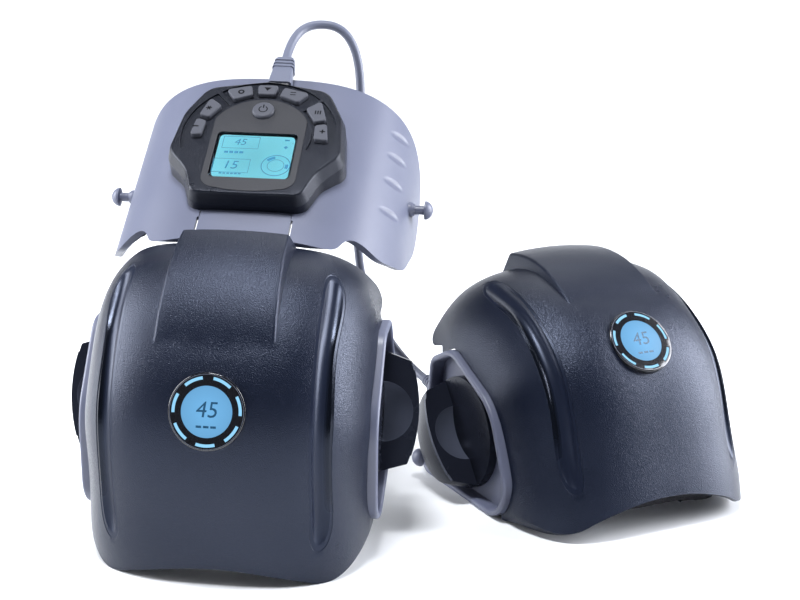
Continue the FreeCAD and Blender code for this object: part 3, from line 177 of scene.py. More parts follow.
Group = tuple[Tree, bpy.types.NodeOutputs, Node]


def new_group(name: str, kind: str, inputs: dict[str, str], outputs: dict[str, str]) -> Group:
    """Makes a node group.

    Args:
        name: Name of the group.
        kind: ShaderNodeTree or GeometryNodeTree.
        inputs: Type of each input, such as Float, by its name.
        outputs: Type of each output by its name.

    Returns:
        The group's tree, what comes in, and its output node.
    """
    group = bpy.data.node_groups.new(name, kind)
    for way, sockets in (("INPUT", inputs), ("OUTPUT", outputs)):
        for socket, data in sockets.items():
            group.interface.new_socket(socket, in_out=way, socket_type=f"NodeSocket{data}")
    tree = Tree(group)
    return tree, tree.node("NodeGroupInput", {}).outputs, tree.node("NodeGroupOutput", {})


def relief_group(name: str) -> tuple[*Group, Inputs]:
    """Starts a relief group with inputs Cell and Depth, outputs Height and Shade.

    Args:
        name: Name of the group.

    Returns:
        The same as new_group, and what the textures' inputs get.
    """
    tree, entry, leave = new_group(
        name, "ShaderNodeTree", {"Cell": "Float", "Depth": "Float"},
        {"Height": "Float", "Shade": "Float"},
    )
    return tree, entry, leave, {"Vector": tree.position(), "Scale": entry["Cell"]}


@cache
def grain_group() -> NodeTree:
    """Moulded grain: fine height from cells and noise."""
    tree, entry, leave, place = relief_group("MouldedGrain")
    cells = tree.add("ShaderNodeTexVoronoi", {**place, "Smoothness": 0.6}, feature="SMOOTH_F1")
    noise = tree.add("ShaderNodeTexNoise", {**place, "Detail": 3.0})
    height = tree.math("MULTIPLY", tree.math("ADD", cells, noise), entry["Depth"])
    tree.feed(leave, {"Height": height, "Shade": noise})
    return tree.tree


@cache
def weave_group() -> NodeTree:
    """Knitted spacer cloth: rows of small loops."""
    tree, entry, leave, place = relief_group("KnitCloth")
    loops = tree.add("ShaderNodeTexVoronoi", {**place, "Randomness": 0.25}, distance="CHEBYCHEV")
    yarn = tree.add("ShaderNodeTexNoise", {**place, "Detail": 4.0})
    shade = tree.add("ShaderNodeMath", {0: loops, 1: 0.7, 2: yarn}, operation="MULTIPLY_ADD")
    tree.feed(leave, {"Height": tree.math("MULTIPLY", loops, entry["Depth"]), "Shade": shade})
    return tree.tree


@cache
def smudge_group() -> NodeTree:
    """Slow variation between two values, such as handling marks and uneven polish."""
    tree, entry, leave = new_group(
        "Smudge", "ShaderNodeTree", {"Size": "Float", "Low": "Float", "High": "Float"},
        {"Value": "Float"},
    )
    noise = tree.add("ShaderNodeTexNoise", {
        "Vector": tree.position(), "Scale": entry["Size"], "Detail": 5.0, "Roughness": 0.6,
    })
    tree.feed(leave, {"Value": tree.add("ShaderNodeMapRange", {
        "Value": noise, "From Min": 0.3, "From Max": 0.7,
        "To Min": entry["Low"], "To Max": entry["High"],
    })})
    return tree.tree


# --- Finishes ---
GRAIN_HEIGHT = 0.2 * MM
COAT_ROUGHNESS = 0.08


def rgba(colour: Colour, share: float = 1.0) -> Reals:
    """A colour with full alpha, dimmed or brightened by a share."""
    return (*[min(1.0, level * share) for level in colour], 1.0)


@dataclass(frozen=True)
class Look(ABC):
    """Look of a surface; its material is built on first use."""

    name: str

    def material(self) -> bpy.types.Material:
        """The look's material."""
        made = bpy.data.materials.get(self.name)
        if made is None:
            made = bpy.data.materials.new(self.name)
            made.use_nodes = True
            self.wire(Tree(made.node_tree), made.node_tree.nodes["Principled BSDF"])
        return made

    @abstractmethod
    def wire(self, tree: Tree, shader: Node) -> None:
        """Feeds the material's shader.

        Args:
            tree: The material's tree.
            shader: Its Principled shader.
        """


@dataclass(frozen=True)
class Finish(Look):
    """Moulded or printed surface with grain and handling marks."""

    colour: Colour
    rough: tuple[float, float]
    cell: float
    depth: float
    shade: float
    metallic: float = 0.0
    coat: float = 0.0
    smudge: float = 25.0
    specular: float = 0.5
    tint: Colour = (1.0, 1.0, 1.0)
    relief: Callable[[], NodeTree] = grain_group

    def wire(self, tree: Tree, shader: Node) -> None:
        """Feeds colour, roughness and relief."""
        low, high = self.rough
        relief = tree.node(
            "ShaderNodeGroup", {"Cell": self.cell, "Depth": self.depth}, node_tree=self.relief()
        ).outputs
        smudge = tree.add("ShaderNodeGroup", {
            "Size": self.smudge, "Low": low, "High": high,
        }, node_tree=smudge_group())
        bump = tree.add("ShaderNodeBump", {
            "Strength": 1.0, "Distance": GRAIN_HEIGHT, "Height": relief["Height"],
        })
        mix = tree.add("ShaderNodeMix", {
            "Factor": relief["Shade"],
            "A": rgba(self.colour, 1 - self.shade), "B": rgba(self.colour, 1 + self.shade),
        }, "Result", data_type="RGBA")
        tree.feed(shader, {
            "Metallic": self.metallic, "Coat Weight": self.coat, "Coat Roughness": COAT_ROUGHNESS,
            "Specular IOR Level": self.specular, "Specular Tint": rgba(self.tint),
            "Base Color": mix, "Roughness": smudge, "Normal": bump,
        })


@dataclass(frozen=True)
class ZoneFinish(Finish):
    """Finish with painted light in a zone of a frame: a colour for a painted highlight or a painted
    dark reflection, and the zone's own gloss.
    """

    place: Matrix = field(default_factory=Matrix)
    painted_light_colour: Colour = (0.0, 0.0, 0.0)
    zone_rough: float = 0.1

    @abstractmethod
    def zone(self, tree: Tree, spot: Socket) -> Socket:
        """Mask of the zone.

        Args:
            tree: The material's tree.
            spot: Position in the zone's frame, in metres.

        Returns:
            The mask.
        """

    def wire(self, tree: Tree, shader: Node) -> None:
        """Lays the painted-light colour and the zone's gloss over the zone."""
        super().wire(tree, shader)
        back = self.place.inverted()
        spot = tree.add("ShaderNodeMapping", {
            "Vector": tree.position(), "Location": back.translation * MM,
            "Rotation": back.to_euler("XYZ"),
        })
        mask = self.zone(tree, spot)
        # The zone's colour is painted light over the surface's own colour: a painted highlight or a
        # painted dark reflection.
        for name, kind, value in (
            ("Base Color", "RGBA", rgba(self.painted_light_colour)), ("Roughness", "FLOAT", self.zone_rough),
        ):
            own = shader.inputs[name].links[0].from_socket
            inputs = {"Factor": mask, "A": own, "B": value}
            tree.feed(shader, {name: tree.add("ShaderNodeMix", inputs, "Result", data_type=kind)})


@dataclass(frozen=True)
class ScoopHighlightFinish(ZoneFinish):
    """Knob finish with a painted highlight: a paler colour on the grip ridge and inside the thumb
    scoop, where light catches them, in millimetres.
    """

    ball: Vector = field(default_factory=Vector)
    reach: float = 29.36
    lip: float = 0.12
    shoulder: float = 105.3
    ridge_highlight: tuple[float, float] = (0.05, 2.72)

    def zone(self, tree: Tree, spot: Socket) -> Socket:
        """Mask of the painted highlight: the ridge, and what lies on the scoop's ball."""
        away = tree.add(
            "ShaderNodeVectorMath", {0: spot, 1: self.ball * MM}, "Value", operation="DISTANCE"
        )
        parts = tree.node("ShaderNodeSeparateXYZ", {0: spot}).outputs
        out = tree.math("ABSOLUTE", parts["X"])
        start, end = self.ridge_highlight
        # Painted highlight inside the thumb scoop.
        scoop_highlight = tree.math(
            "MULTIPLY",
            tree.math("LESS_THAN", away, self.reach * MM),
            tree.math("GREATER_THAN", out, (abs(self.ball.x) + self.lip) * MM),
        )
        # Painted highlight along the grip ridge.
        ridge_highlight = tree.math(
            "MULTIPLY",
            tree.math("GREATER_THAN", out, self.shoulder * MM),
            tree.math("GREATER_THAN", parts["Y"], start * MM),
            tree.math("LESS_THAN", parts["Y"], end * MM),
        )
        return tree.math("MAXIMUM", scoop_highlight, ridge_highlight)


@dataclass(frozen=True)
class GrooveGlossReflectionFinish(ZoneFinish):
    """Groove trim in the shell's satin, with real gloss on its outer wall and a painted dark
    reflection darkening that wall's middle stretch, in millimetres.
    """

    line: float = 65.0
    edge: float = 1.6
    middle: float = -8.0
    half: float = 38.0
    blend: float = 24.0

    @staticmethod
    def fade(tree: Tree, value: Socket, start: float, end: float) -> Socket:
        """Smooth step of a length.

        Args:
            tree: The material's tree.
            value: The length, in metres.
            start: Length at which the step is nought, in millimetres.
            end: Length at which the step is one, in millimetres.

        Returns:
            The step's value.
        """
        low, high = sorted((start, end))
        return tree.add("ShaderNodeMapRange", {
            "Value": value, "From Min": low * MM, "From Max": high * MM,
            "To Min": float(start > end), "To Max": float(end > start),
        }, interpolation_type="SMOOTHSTEP")

    def zone(self, tree: Tree, spot: Socket) -> Socket:
        """Mask of the outer wall's middle stretch, soft at its ends, which gets the gloss and the
        painted dark reflection.
        """
        parts = tree.node("ShaderNodeSeparateXYZ", {0: spot}).outputs
        out = tree.math("ABSOLUTE", parts["X"])
        size = tree.math("ABSOLUTE", tree.math("SUBTRACT", parts["Z"], self.middle * MM))
        wall = self.fade(tree, out, self.line - self.edge, self.line + self.edge)
        # Painted dark reflection: the wall's middle stretch is darkened, fading toward the ends.
        dark_reflection_stretch = self.fade(tree, size, self.half + self.blend, self.half)
        return tree.math("MULTIPLY", wall, dark_reflection_stretch)


@dataclass(frozen=True)
class DentFinish(Finish):
    """Finish of a moulding with long soft dents, in millimetres."""

    spots: tuple[Matrix, ...] = ()
    sizes: Triple = (14.0, 4.6, 12.0)
    dip: float = 1.4

    def wire(self, tree: Tree, shader: Node) -> None:
        """Presses the dents into the shading."""
        super().wire(tree, shader)
        position = tree.position()
        levels = []
        for spot in self.spots:
            turn = tree.add("ShaderNodeMapping", {
                "Vector": position, "Location": spot.translation * MM,
                "Rotation": spot.to_euler("XYZ"), "Scale": [size * MM for size in self.sizes],
            }, vector_type="TEXTURE")
            levels.append(tree.add("ShaderNodeMapRange", {
                "Value": tree.length(turn), "To Min": 1.0, "To Max": 0.0,
            }, interpolation_type="SMOOTHERSTEP"))
        dent = tree.add("ShaderNodeBump", {
            "Distance": self.dip * MM, "Height": tree.math("ADD", *levels),
            "Normal": shader.inputs["Normal"].links[0].from_socket,
        }, invert=True)
        tree.feed(shader, {"Normal": dent})


@dataclass(frozen=True)
class Lamp(Look):
    """Lit surface that changes toward its rim, such as a display or light ring."""

    colour: Colour
    strength: float
    rim: float
    centre: Vector = field(default_factory=Vector)
    reach: float = 0.03
    body: float = 0.1
    unevenness: float = 0.12

    def wire(self, tree: Tree, shader: Node) -> None:
        """Feeds the glow and a dim body under it."""
        spot = tree.position()
        place = tree.add("ShaderNodeMapping", {"Vector": spot, "Location": -self.centre})
        away = {"Value": tree.length(place), "From Max": self.reach}
        span = tree.add("ShaderNodeMapRange", away)
        noise = tree.add("ShaderNodeTexNoise", {"Vector": spot, "Scale": 60.0})
        blend = tree.add("ShaderNodeMath", {
            0: noise, 1: self.unevenness, 2: span,
        }, operation="MULTIPLY_ADD")
        glow = tree.add("ShaderNodeMix", {
            "Factor": blend, "A": rgba(self.colour), "B": rgba(self.colour, self.rim),
        }, "Result", data_type="RGBA")
        dark = tree.add("ShaderNodeMix", {
            "Factor": 1.0, "A": glow, "B": (self.body, self.body, self.body, 1.0),
        }, "Result", data_type="RGBA", blend_type="MULTIPLY")
        tree.feed(shader, {
            "Roughness": 0.3, "Specular IOR Level": 0.1, "Base Color": dark,
            "Emission Color": glow, "Emission Strength": self.strength,
        })


@dataclass(frozen=True)
class Clear(Look):
    """Clear window over a display."""

    colour: Colour
    bend: float

    def wire(self, tree: Tree, shader: Node) -> None:
        """Feeds the clear body with its faint handling marks."""
        marks = {"Size": 60.0, "Low": 0.01, "High": 0.06}
        smudge = tree.add("ShaderNodeGroup", marks, node_tree=smudge_group())
        tree.feed(shader, {
            "Base Color": rgba(self.colour), "Transmission Weight": 1.0, "IOR": self.bend,
            "Roughness": smudge,
        })


NAVY_SHEEN = (0.66, 0.75, 1.0)
SHELL = Finish(
    "shell_navy_grain", (0.005, 0.0072, 0.016), (0.27, 0.31), 1900.0, 0.7, 0.5,
    smudge=9.0, specular=0.37, tint=NAVY_SHEEN,
)
GLOSS = Finish("piano_black", (0.006, 0.0065, 0.009), (0.06, 0.12), 400.0, 0.01, 0.05, coat=0.4)
FRAME = Finish("blue_grey_satin", (0.102, 0.112, 0.164), (0.36, 0.46), 1800.0, 0.12, 0.05)
CASE = Finish(
    "case_dark_grey", (0.005, 0.006, 0.01), (0.27, 0.33), 2300.0, 0.4, 0.4,
    specular=0.24, tint=(0.8, 0.85, 1.0),
)
INSERT = Finish(
    "insert_speckled", (0.02, 0.021, 0.026), (0.38, 0.46), 2600.0, 0.2, 0.7, specular=0.3,
)
KEY = Finish(
    "key_silicone", (0.05, 0.0535, 0.069), (0.5, 0.6), 2000.0, 0.15, 0.08, specular=0.3,
)
CORD = Finish("cord_blue_grey", (0.102, 0.113, 0.16), (0.38, 0.48), 1500.0, 0.1, 0.06)
STEEL = Finish("steel", (0.55, 0.55, 0.56), (0.22, 0.34), 800.0, 0.05, 0.05, metallic=1.0)
CAST = Finish("cast_aluminium", (0.62, 0.63, 0.64), (0.4, 0.55), 900.0, 0.2, 0.08, metallic=1.0)
BOARD = Finish("board_green", (0.02, 0.12, 0.06), (0.3, 0.4), 900.0, 0.05, 0.1)
CELL = Finish("cell_wrap", (0.25, 0.27, 0.3), (0.4, 0.5), 900.0, 0.05, 0.05)
FABRIC = Finish(
    "pad_knit", (0.014, 0.014, 0.018), (0.8, 0.95), 640.0, 1.0, 0.45, relief=weave_group,
)
THREAD = Finish("pad_thread", (0.05, 0.052, 0.06), (0.6, 0.75), 2400.0, 0.3, 0.2)
# Pale thin ring round the display bezel: a painted highlight on the bezel's edge.
BEZEL_HIGHLIGHT = Finish("bezel_line", (0.09, 0.1, 0.13), (0.2, 0.3), 1200.0, 0.02, 0.05)
INK = Finish("display_ink", (0.01, 0.06, 0.12), (0.25, 0.35), 900.0, 0.02, 0.1)
SEGMENT = Finish("screen_segment", (0.008, 0.14, 0.26), (0.25, 0.35), 900.0, 0.02, 0.1)
MARK = Finish(
    "key_print", (0.003, 0.0033, 0.005), (0.5, 0.6), 900.0, 0.02, 0.1, specular=0.06,
)
FLOOR = Finish("floor_pale", (0.86, 0.87, 0.88), (0.7, 0.8), 5.0, 0.0, 0.01)
RING = Lamp("ring_light_blue", (0.3, 0.66, 0.95), 1.0, 0.95)
WINDOW = Clear("window_clear", (0.9, 0.97, 1.0), 1.1)


# --- Objects and meshes ---
WELD_DISTANCE = 0.02 * MM
GENTLE_ANGLE = math.radians(32.0)


def add_object(name: str, data: bpy.types.ID | None) -> Object:
    """Puts data into the scene as an object at the origin."""
    thing = bpy.data.objects.new(name, data)
    bpy.context.scene.collection.objects.link(thing)
    return thing


def take_mesh(holder: Object, name: str) -> Mesh:
    """Takes an object's final mesh and removes the object.

    Args:
        holder: Object with its modifiers or curve settings.
        name: Name of the mesh.

    Returns:
        The mesh.
    """
    graph = bpy.context.evaluated_depsgraph_get()
    mesh = bpy.data.meshes.new_from_object(holder.evaluated_get(graph))
    bpy.data.objects.remove(holder)
    mesh.name = name
    return mesh


def take_build(build: bmesh.types.BMesh, name: str) -> Mesh:
    """Turns a BMesh into a mesh and frees it."""
    mesh = bpy.data.meshes.new(name)
    build.to_mesh(mesh)
    build.free()
    return mesh


@cache
def smooth_group() -> NodeTree:
    """Geometry tree that welds a mesh and shades its gentle edges smooth."""
    geometry = {"Geometry": "Geometry"}
    tree, entry, leave = new_group("WeldAndSmooth", "GeometryNodeTree", geometry, geometry)
    weld = tree.add("GeometryNodeMergeByDistance", {
        "Geometry": entry["Geometry"], "Distance": WELD_DISTANCE,
    })
    gentle = tree.add("FunctionNodeCompare", {
        "A": tree.add("GeometryNodeInputMeshEdgeAngle", {}, "Unsigned Angle"), "B": GENTLE_ANGLE,
    }, operation="LESS_THAN")
    faces = tree.add("GeometryNodeSetShadeSmooth", {"Geometry": weld}, domain="FACE")
    edges = tree.add("GeometryNodeSetShadeSmooth", {
        "Geometry": faces, "Shade Smooth": gentle,
    }, domain="EDGE")
    tree.feed(leave, {"Geometry": edges})
    return tree.tree


def dress(node: str, look: Look) -> None:
    """Gives a CAD node its look and smooth shading.

    Args:
        node: Name of the CAD node.
        look: Look to use.
    """
    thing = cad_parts[node]
    thing.data.materials.clear()
    thing.data.materials.append(look.material())
    thing.modifiers.new("shading", "NODES").node_group = smooth_group()


def build_piece(name: str, mesh: Mesh, look: Look, body: str) -> Object:
    """Makes an object of a mesh, dresses it and lets it ride on a body.

    Args:
        name: Name of the piece.
        mesh: Mesh in the part's frame, in metres.
        look: Look to use.
        body: CAD body that carries the piece.

    Returns:
        The new object.
    """
    thing = add_object(name, mesh)
    mesh.materials.clear()
    mesh.materials.append(look.material())
    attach(thing, body)
    return thing


# --- Printed figures ---
def ring(
    centre: Point, inner: float, outer: float, steps: int, start: float = 0.0, sweep: float = 360.0
) -> list[Outline]:
    """Four-sided outlines that make up a flat ring or part of one.

    Args:
        centre: Ring's centre.
        inner: Inner radius.
        outer: Outer radius.
        steps: Number of outlines.
        start: Start angle in degrees.
        sweep: Angle covered, in degrees.

    Returns:
        The outlines.
    """
    x, y = centre
    outlines = []
    for index in range(steps):
        a = math.radians(start + sweep * index / steps)
        b = math.radians(start + sweep * (index + 1) / steps)
        corners = ((inner, a), (outer, a), (outer, b), (inner, b))
        outlines.append([(x + r * math.cos(t), y + r * math.sin(t)) for r, t in corners])
    return outlines


def bar(centre: Point, length: float, width: float, turn: float = 0.0) -> Outline:
    """Outline of a straight bar, turned about its centre by degrees."""
    a = math.radians(turn)
    corners = ((-length, -width), (length, -width), (length, width), (-length, width))
    return [
        (
            centre[0] + x / 2 * math.cos(a) - y / 2 * math.sin(a),
            centre[1] + x / 2 * math.sin(a) + y / 2 * math.cos(a),
        )
        for x, y in corners
    ]


def box(centre: Point, size: Point, width: float) -> list[Outline]:
    """Four bars that make a thin rectangle."""
    (x, y), (w, h) = centre, size
    return [
        bar((x, y + h / 2), w, width), bar((x, y - h / 2), w, width),
        bar((x - w / 2, y), width, h), bar((x + w / 2, y), width, h),
    ]


@dataclass(frozen=True)
class Print:
    """Thin layer of print on a body, in a frame of millimetres."""

    place: Matrix
    low: float
    high: float
    look: Look
    body: str

    def figures(self, name: str, outlines: list[Outline]) -> None:
        """Prints flat figures as one piece.

        Args:
            name: Name of the piece.
            outlines: Closed outlines in the frame's plane.
        """
        build = bmesh.new()
        for outline in outlines:
            lower = [build.verts.new((x, y, self.low)) for x, y in outline]
            upper = [build.verts.new((x, y, self.high)) for x, y in outline]
            build.faces.new(list(reversed(lower)))
            build.faces.new(upper)
            for index in range(len(outline)):
                after = (index + 1) % len(outline)
                build.faces.new([lower[index], lower[after], upper[after], upper[index]])
        bmesh.ops.recalc_face_normals(build, faces=build.faces)
        mesh = take_build(build, name)
        mesh.transform(Matrix.Scale(MM, 4) @ self.place)
        build_piece(name, mesh, self.look, self.body)

    def words(self, name: str, text: str, size: float, centre: Point, slant: float) -> None:
        """Prints type, such as digits, as one piece.

        Args:
            name: Name of the piece.
            text: The digits or signs.
            size: Height of the type.
            centre: Middle of the type in the frame's plane.
            slant: Slant of the type.
        """
        curve = bpy.data.curves.new(name, "FONT")
        curve.body = text
        curve.size = size
        curve.shear = slant
        curve.align_x = "CENTER"
        curve.align_y = "CENTER"
        curve.extrude = (self.high - self.low) / 2
        curve.resolution_u = 3
        mesh = take_mesh(add_object(name + "_type", curve), name)
        bpy.data.curves.remove(curve)
        shift = Matrix.Translation((*centre, (self.low + self.high) / 2))
        mesh.transform(Matrix.Scale(MM, 4) @ self.place @ shift)
        build_piece(name, mesh, self.look, self.body)


# --- Sewn pads ---
STITCH = {"Pitch": 4.2 * MM, "Length": 3.0 * MM, "Radius": 0.34 * MM}
STITCH_LIFT = 0.15              # of a stitch's middle over the cloth
ROW_GAP = 8.0 * MM              # longest step that still belongs to one row
LEG_SIDE = 0.3                  # least share of a normal that looks at the leg
RELAX_STEPS = 6


def seam(distance: float, width: float) -> float:
    """Depth share of a sewn channel at a distance from its line."""
    return math.exp(-((distance / width) ** 2))


def both_sides(lines: Reals) -> list[float]:
    """Lines with their mirror images, sorted."""
    return sorted({sign * line for line in lines for sign in (-1.0, 1.0)})


@cache
def stitch_group() -> NodeTree:
    """Geometry tree that lays thread stitches along lines of edges.

    Returns:
        The tree, with inputs Pitch, Length, Radius and Thread.
    """
    tree, entry, leave = new_group("StitchRows", "GeometryNodeTree", {
        "Geometry": "Geometry", "Pitch": "Float", "Length": "Float", "Radius": "Float",
        "Thread": "Material",
    }, {"Geometry": "Geometry"})
    line = tree.add("GeometryNodeMeshToCurve", {"Mesh": entry["Geometry"]})
    steps = tree.add("GeometryNodeResampleCurve", {
        "Curve": line, "Length": entry["Pitch"],
    }, mode="LENGTH")
    tangent = tree.add("GeometryNodeInputTangent", {})
    turn = tree.add("FunctionNodeAlignRotationToVector", {"Vector": tangent}, axis="Z")
    ball = tree.add("GeometryNodeMeshUVSphere", {"Segments": 6, "Rings": 4, "Radius": 1.0})
    half = tree.math("MULTIPLY", entry["Length"], 0.5)
    size = tree.add("ShaderNodeCombineXYZ", {0: entry["Radius"], 1: entry["Radius"], 2: half})
    spread = tree.add("GeometryNodeInstanceOnPoints", {
        "Points": steps, "Instance": ball, "Rotation": turn, "Scale": size,
    })
    real = tree.add("GeometryNodeRealizeInstances", {"Geometry": spread})
    thread = tree.add("GeometryNodeSetMaterial", {"Geometry": real, "Material": entry["Thread"]})
    tree.feed(leave, {"Geometry": thread})
    return tree.tree


@dataclass
class SewnPad(ABC):
    """Quilted pad that takes the place of a CAD solid.

    Press works in the pad's frame of millimetres, and so do the rays that find
    the seams on its leg side.
    """

    node: str
    place: Matrix
    body: str
    voxel: float
    seam_width: float
    seam_depth: float

    @abstractmethod
    def inward(self, point: Vector) -> Vector:
        """Direction toward the leg at a point."""

    @abstractmethod
    def from_seam(self, point: Vector) -> float:
        """Distance of a point from the nearest seam."""

    @abstractmethod
    def rows(self) -> list[list[Ray]]:
        """Rays that meet the cloth along each seam."""

    def form(self) -> Mesh:
        """Soft form of the solid's volume, with its channels pressed in.

        Returns:
            The mesh, in metres.
        """
        holder = add_object(self.node + "_form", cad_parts[self.node].data.copy())
        holder.modifiers.new("weld", "WELD").merge_threshold = WELD_DISTANCE
        remesh = holder.modifiers.new("remesh", "REMESH")
        remesh.mode = "VOXEL"
        remesh.voxel_size = self.voxel
        relax = holder.modifiers.new("relax", "SMOOTH")
        relax.factor = 0.5
        relax.iterations = RELAX_STEPS
        mesh = take_mesh(holder, self.node + "_sewn")
        inverse = (Matrix.Scale(MM, 4) @ self.place).inverted()
        turn = self.place.to_3x3()
        back = turn.inverted()
        moves = []
        for vertex in mesh.vertices:
            point = inverse @ vertex.co
            inward = self.inward(point)
            facing = (back @ vertex.normal).dot(inward)
            depth = seam(self.from_seam(point), self.seam_width) if facing >= LEG_SIDE else 0.0
            moves.append(turn @ (-inward * self.seam_depth * depth) * MM)
        for vertex, move in zip(mesh.vertices, moves):
            vertex.co += move
        mesh.shade_smooth()
        return mesh

    def stitches(self, cloth: Mesh) -> Mesh:
        """Thread stitches where the rows of rays meet the cloth.

        Args:
            cloth: The pad's mesh, in metres.

        Returns:
            The stitches, in metres.
        """
        faces = [polygon.vertices for polygon in cloth.polygons]
        tree = BVHTree.FromPolygons([vertex.co for vertex in cloth.vertices], faces)
        turn = self.place.to_3x3()
        build = bmesh.new()
        for row in self.rows():
            before = None
            for origin, way in row:
                aim = (turn @ way).normalized()
                hit = tree.ray_cast((self.place @ origin) * MM, aim)[0]
                if hit is None:
                    before = None
                    continue
                vertex = build.verts.new(hit - aim * STITCH_LIFT * MM)
                if before is not None and (vertex.co - before.co).length < ROW_GAP:
                    build.edges.new((before, vertex))
                before = vertex
        name = self.node + "_stitches"
        holder = add_object(name + "_line", take_build(build, name + "_line"))
        modifier = holder.modifiers.new("stitches", "NODES")
        modifier.node_group = stitch_group()
        values = {**STITCH, "Thread": THREAD.material()}
        for item in modifier.node_group.interface.items_tree:
            if item.in_out == "INPUT" and item.name in values:
                modifier[item.identifier] = values[item.name]
        mesh = take_mesh(holder, name)
        mesh.shade_smooth()
        return mesh

    def build(self) -> Object:
        """Builds the pad and its stitches.

        Returns:
            The pad.
        """
        cloth = self.form()
        pad = build_piece(self.node + "_sewn", cloth, FABRIC, self.body)
        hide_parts(self.node)
        build_piece(self.node + "_stitches", self.stitches(cloth), THREAD, self.body)
        return pad


@dataclass
class LinerPad(SewnPad):
    """Pad round the knee, sewn along the leg and across it."""

    voxel: float = 2.6 * MM
    seam_width: float = 2.6
    seam_depth: float = 2.4
    lines: Reals = (0.0, 33.0)
    pitch: int = 30
    arc: Steps = (-40, 100, 2)
    span: Steps = (-66, 67, 3)
    first_row: int = -30
    last_row: int = 90
    splay: float = 0.6

    def inward(self, point: Vector) -> Vector:
        """Direction toward the knee, splayed a little sideways."""
        y, z = KNEE_AXIS.yz - point.yz
        return Vector((-point.x * self.splay, y, z)).normalized()

    def from_seam(self, point: Vector) -> float:
        """Distance from the nearest long or cross seam."""
        arm = Vector((0.0, KNEE_AXIS.y - point.y, point.z - KNEE_AXIS.z))
        turn = math.degrees(math.atan2(arm.z, arm.y))
        cross = abs((turn + self.pitch / 2) % self.pitch - self.pitch / 2)
        cross *= math.radians(1.0) * arm.length
        return min(cross, *(abs(abs(point.x) - line) for line in self.lines))

    def rows(self) -> list[list[Ray]]:
        """Rays from the knee's axis along each seam."""
        def ray(x: float, turn: float) -> Ray:
            a = math.radians(turn)
            return Vector((x, *KNEE_AXIS.yz)), Vector((0.0, -math.cos(a), math.sin(a)))

        across = range(self.first_row, self.last_row + 1, self.pitch)
        rows = [[ray(x, turn) for turn in range(*self.arc)] for x in both_sides(self.lines)]
        return rows + [[ray(x, turn) for x in range(*self.span)] for turn in across]


@dataclass
class ThighPad(SewnPad):
    """Pad under the saddle plate, sewn along the thigh and across it."""

    voxel: float = 2.4 * MM
    seam_width: float = 2.4
    seam_depth: float = 1.5
    seams_up: Reals = (38.0, 74.0, 110.0)
    seams_across: Reals = (0.0, 42.0)
    arc: Steps = (-76, 77, 2)
    span: Steps = (12, 136, 3)

    def inward(self, point: Vector) -> Vector:
        """Direction toward the thigh's axis."""
        return Vector((-point.x, 0.0, THIGH_AXIS_Z - point.z)).normalized()

    def from_seam(self, point: Vector) -> float:
        """Distance from the nearest long or cross seam."""
        along = min(abs(point.y - line) for line in self.seams_up)
        return min(along, *(abs(abs(point.x) - line) for line in self.seams_across))

    def rows(self) -> list[list[Ray]]:
        """Rays from the thigh's axis along each seam."""
        def ray(x: float, y: float, turn: float) -> Ray:
            a = math.radians(turn)
            return Vector((x, y, THIGH_AXIS_Z)), Vector((math.sin(a), 0.0, math.cos(a)))

        rows = [[ray(0.0, y, turn) for turn in range(*self.arc)] for y in self.seams_up]
        long = both_sides(self.seams_across)
        return rows + [[ray(x, y, 0.0) for y in range(*self.span)] for x in long]


# --- Sub-assemblies ---
class Unit(Enum):
    """The two knee units."""

    MAIN = "main"
    SECOND = "second"


class Side(Enum):
    """Sides of a knee unit, with the sign of their x."""

    LEFT = -1.0
    RIGHT = 1.0


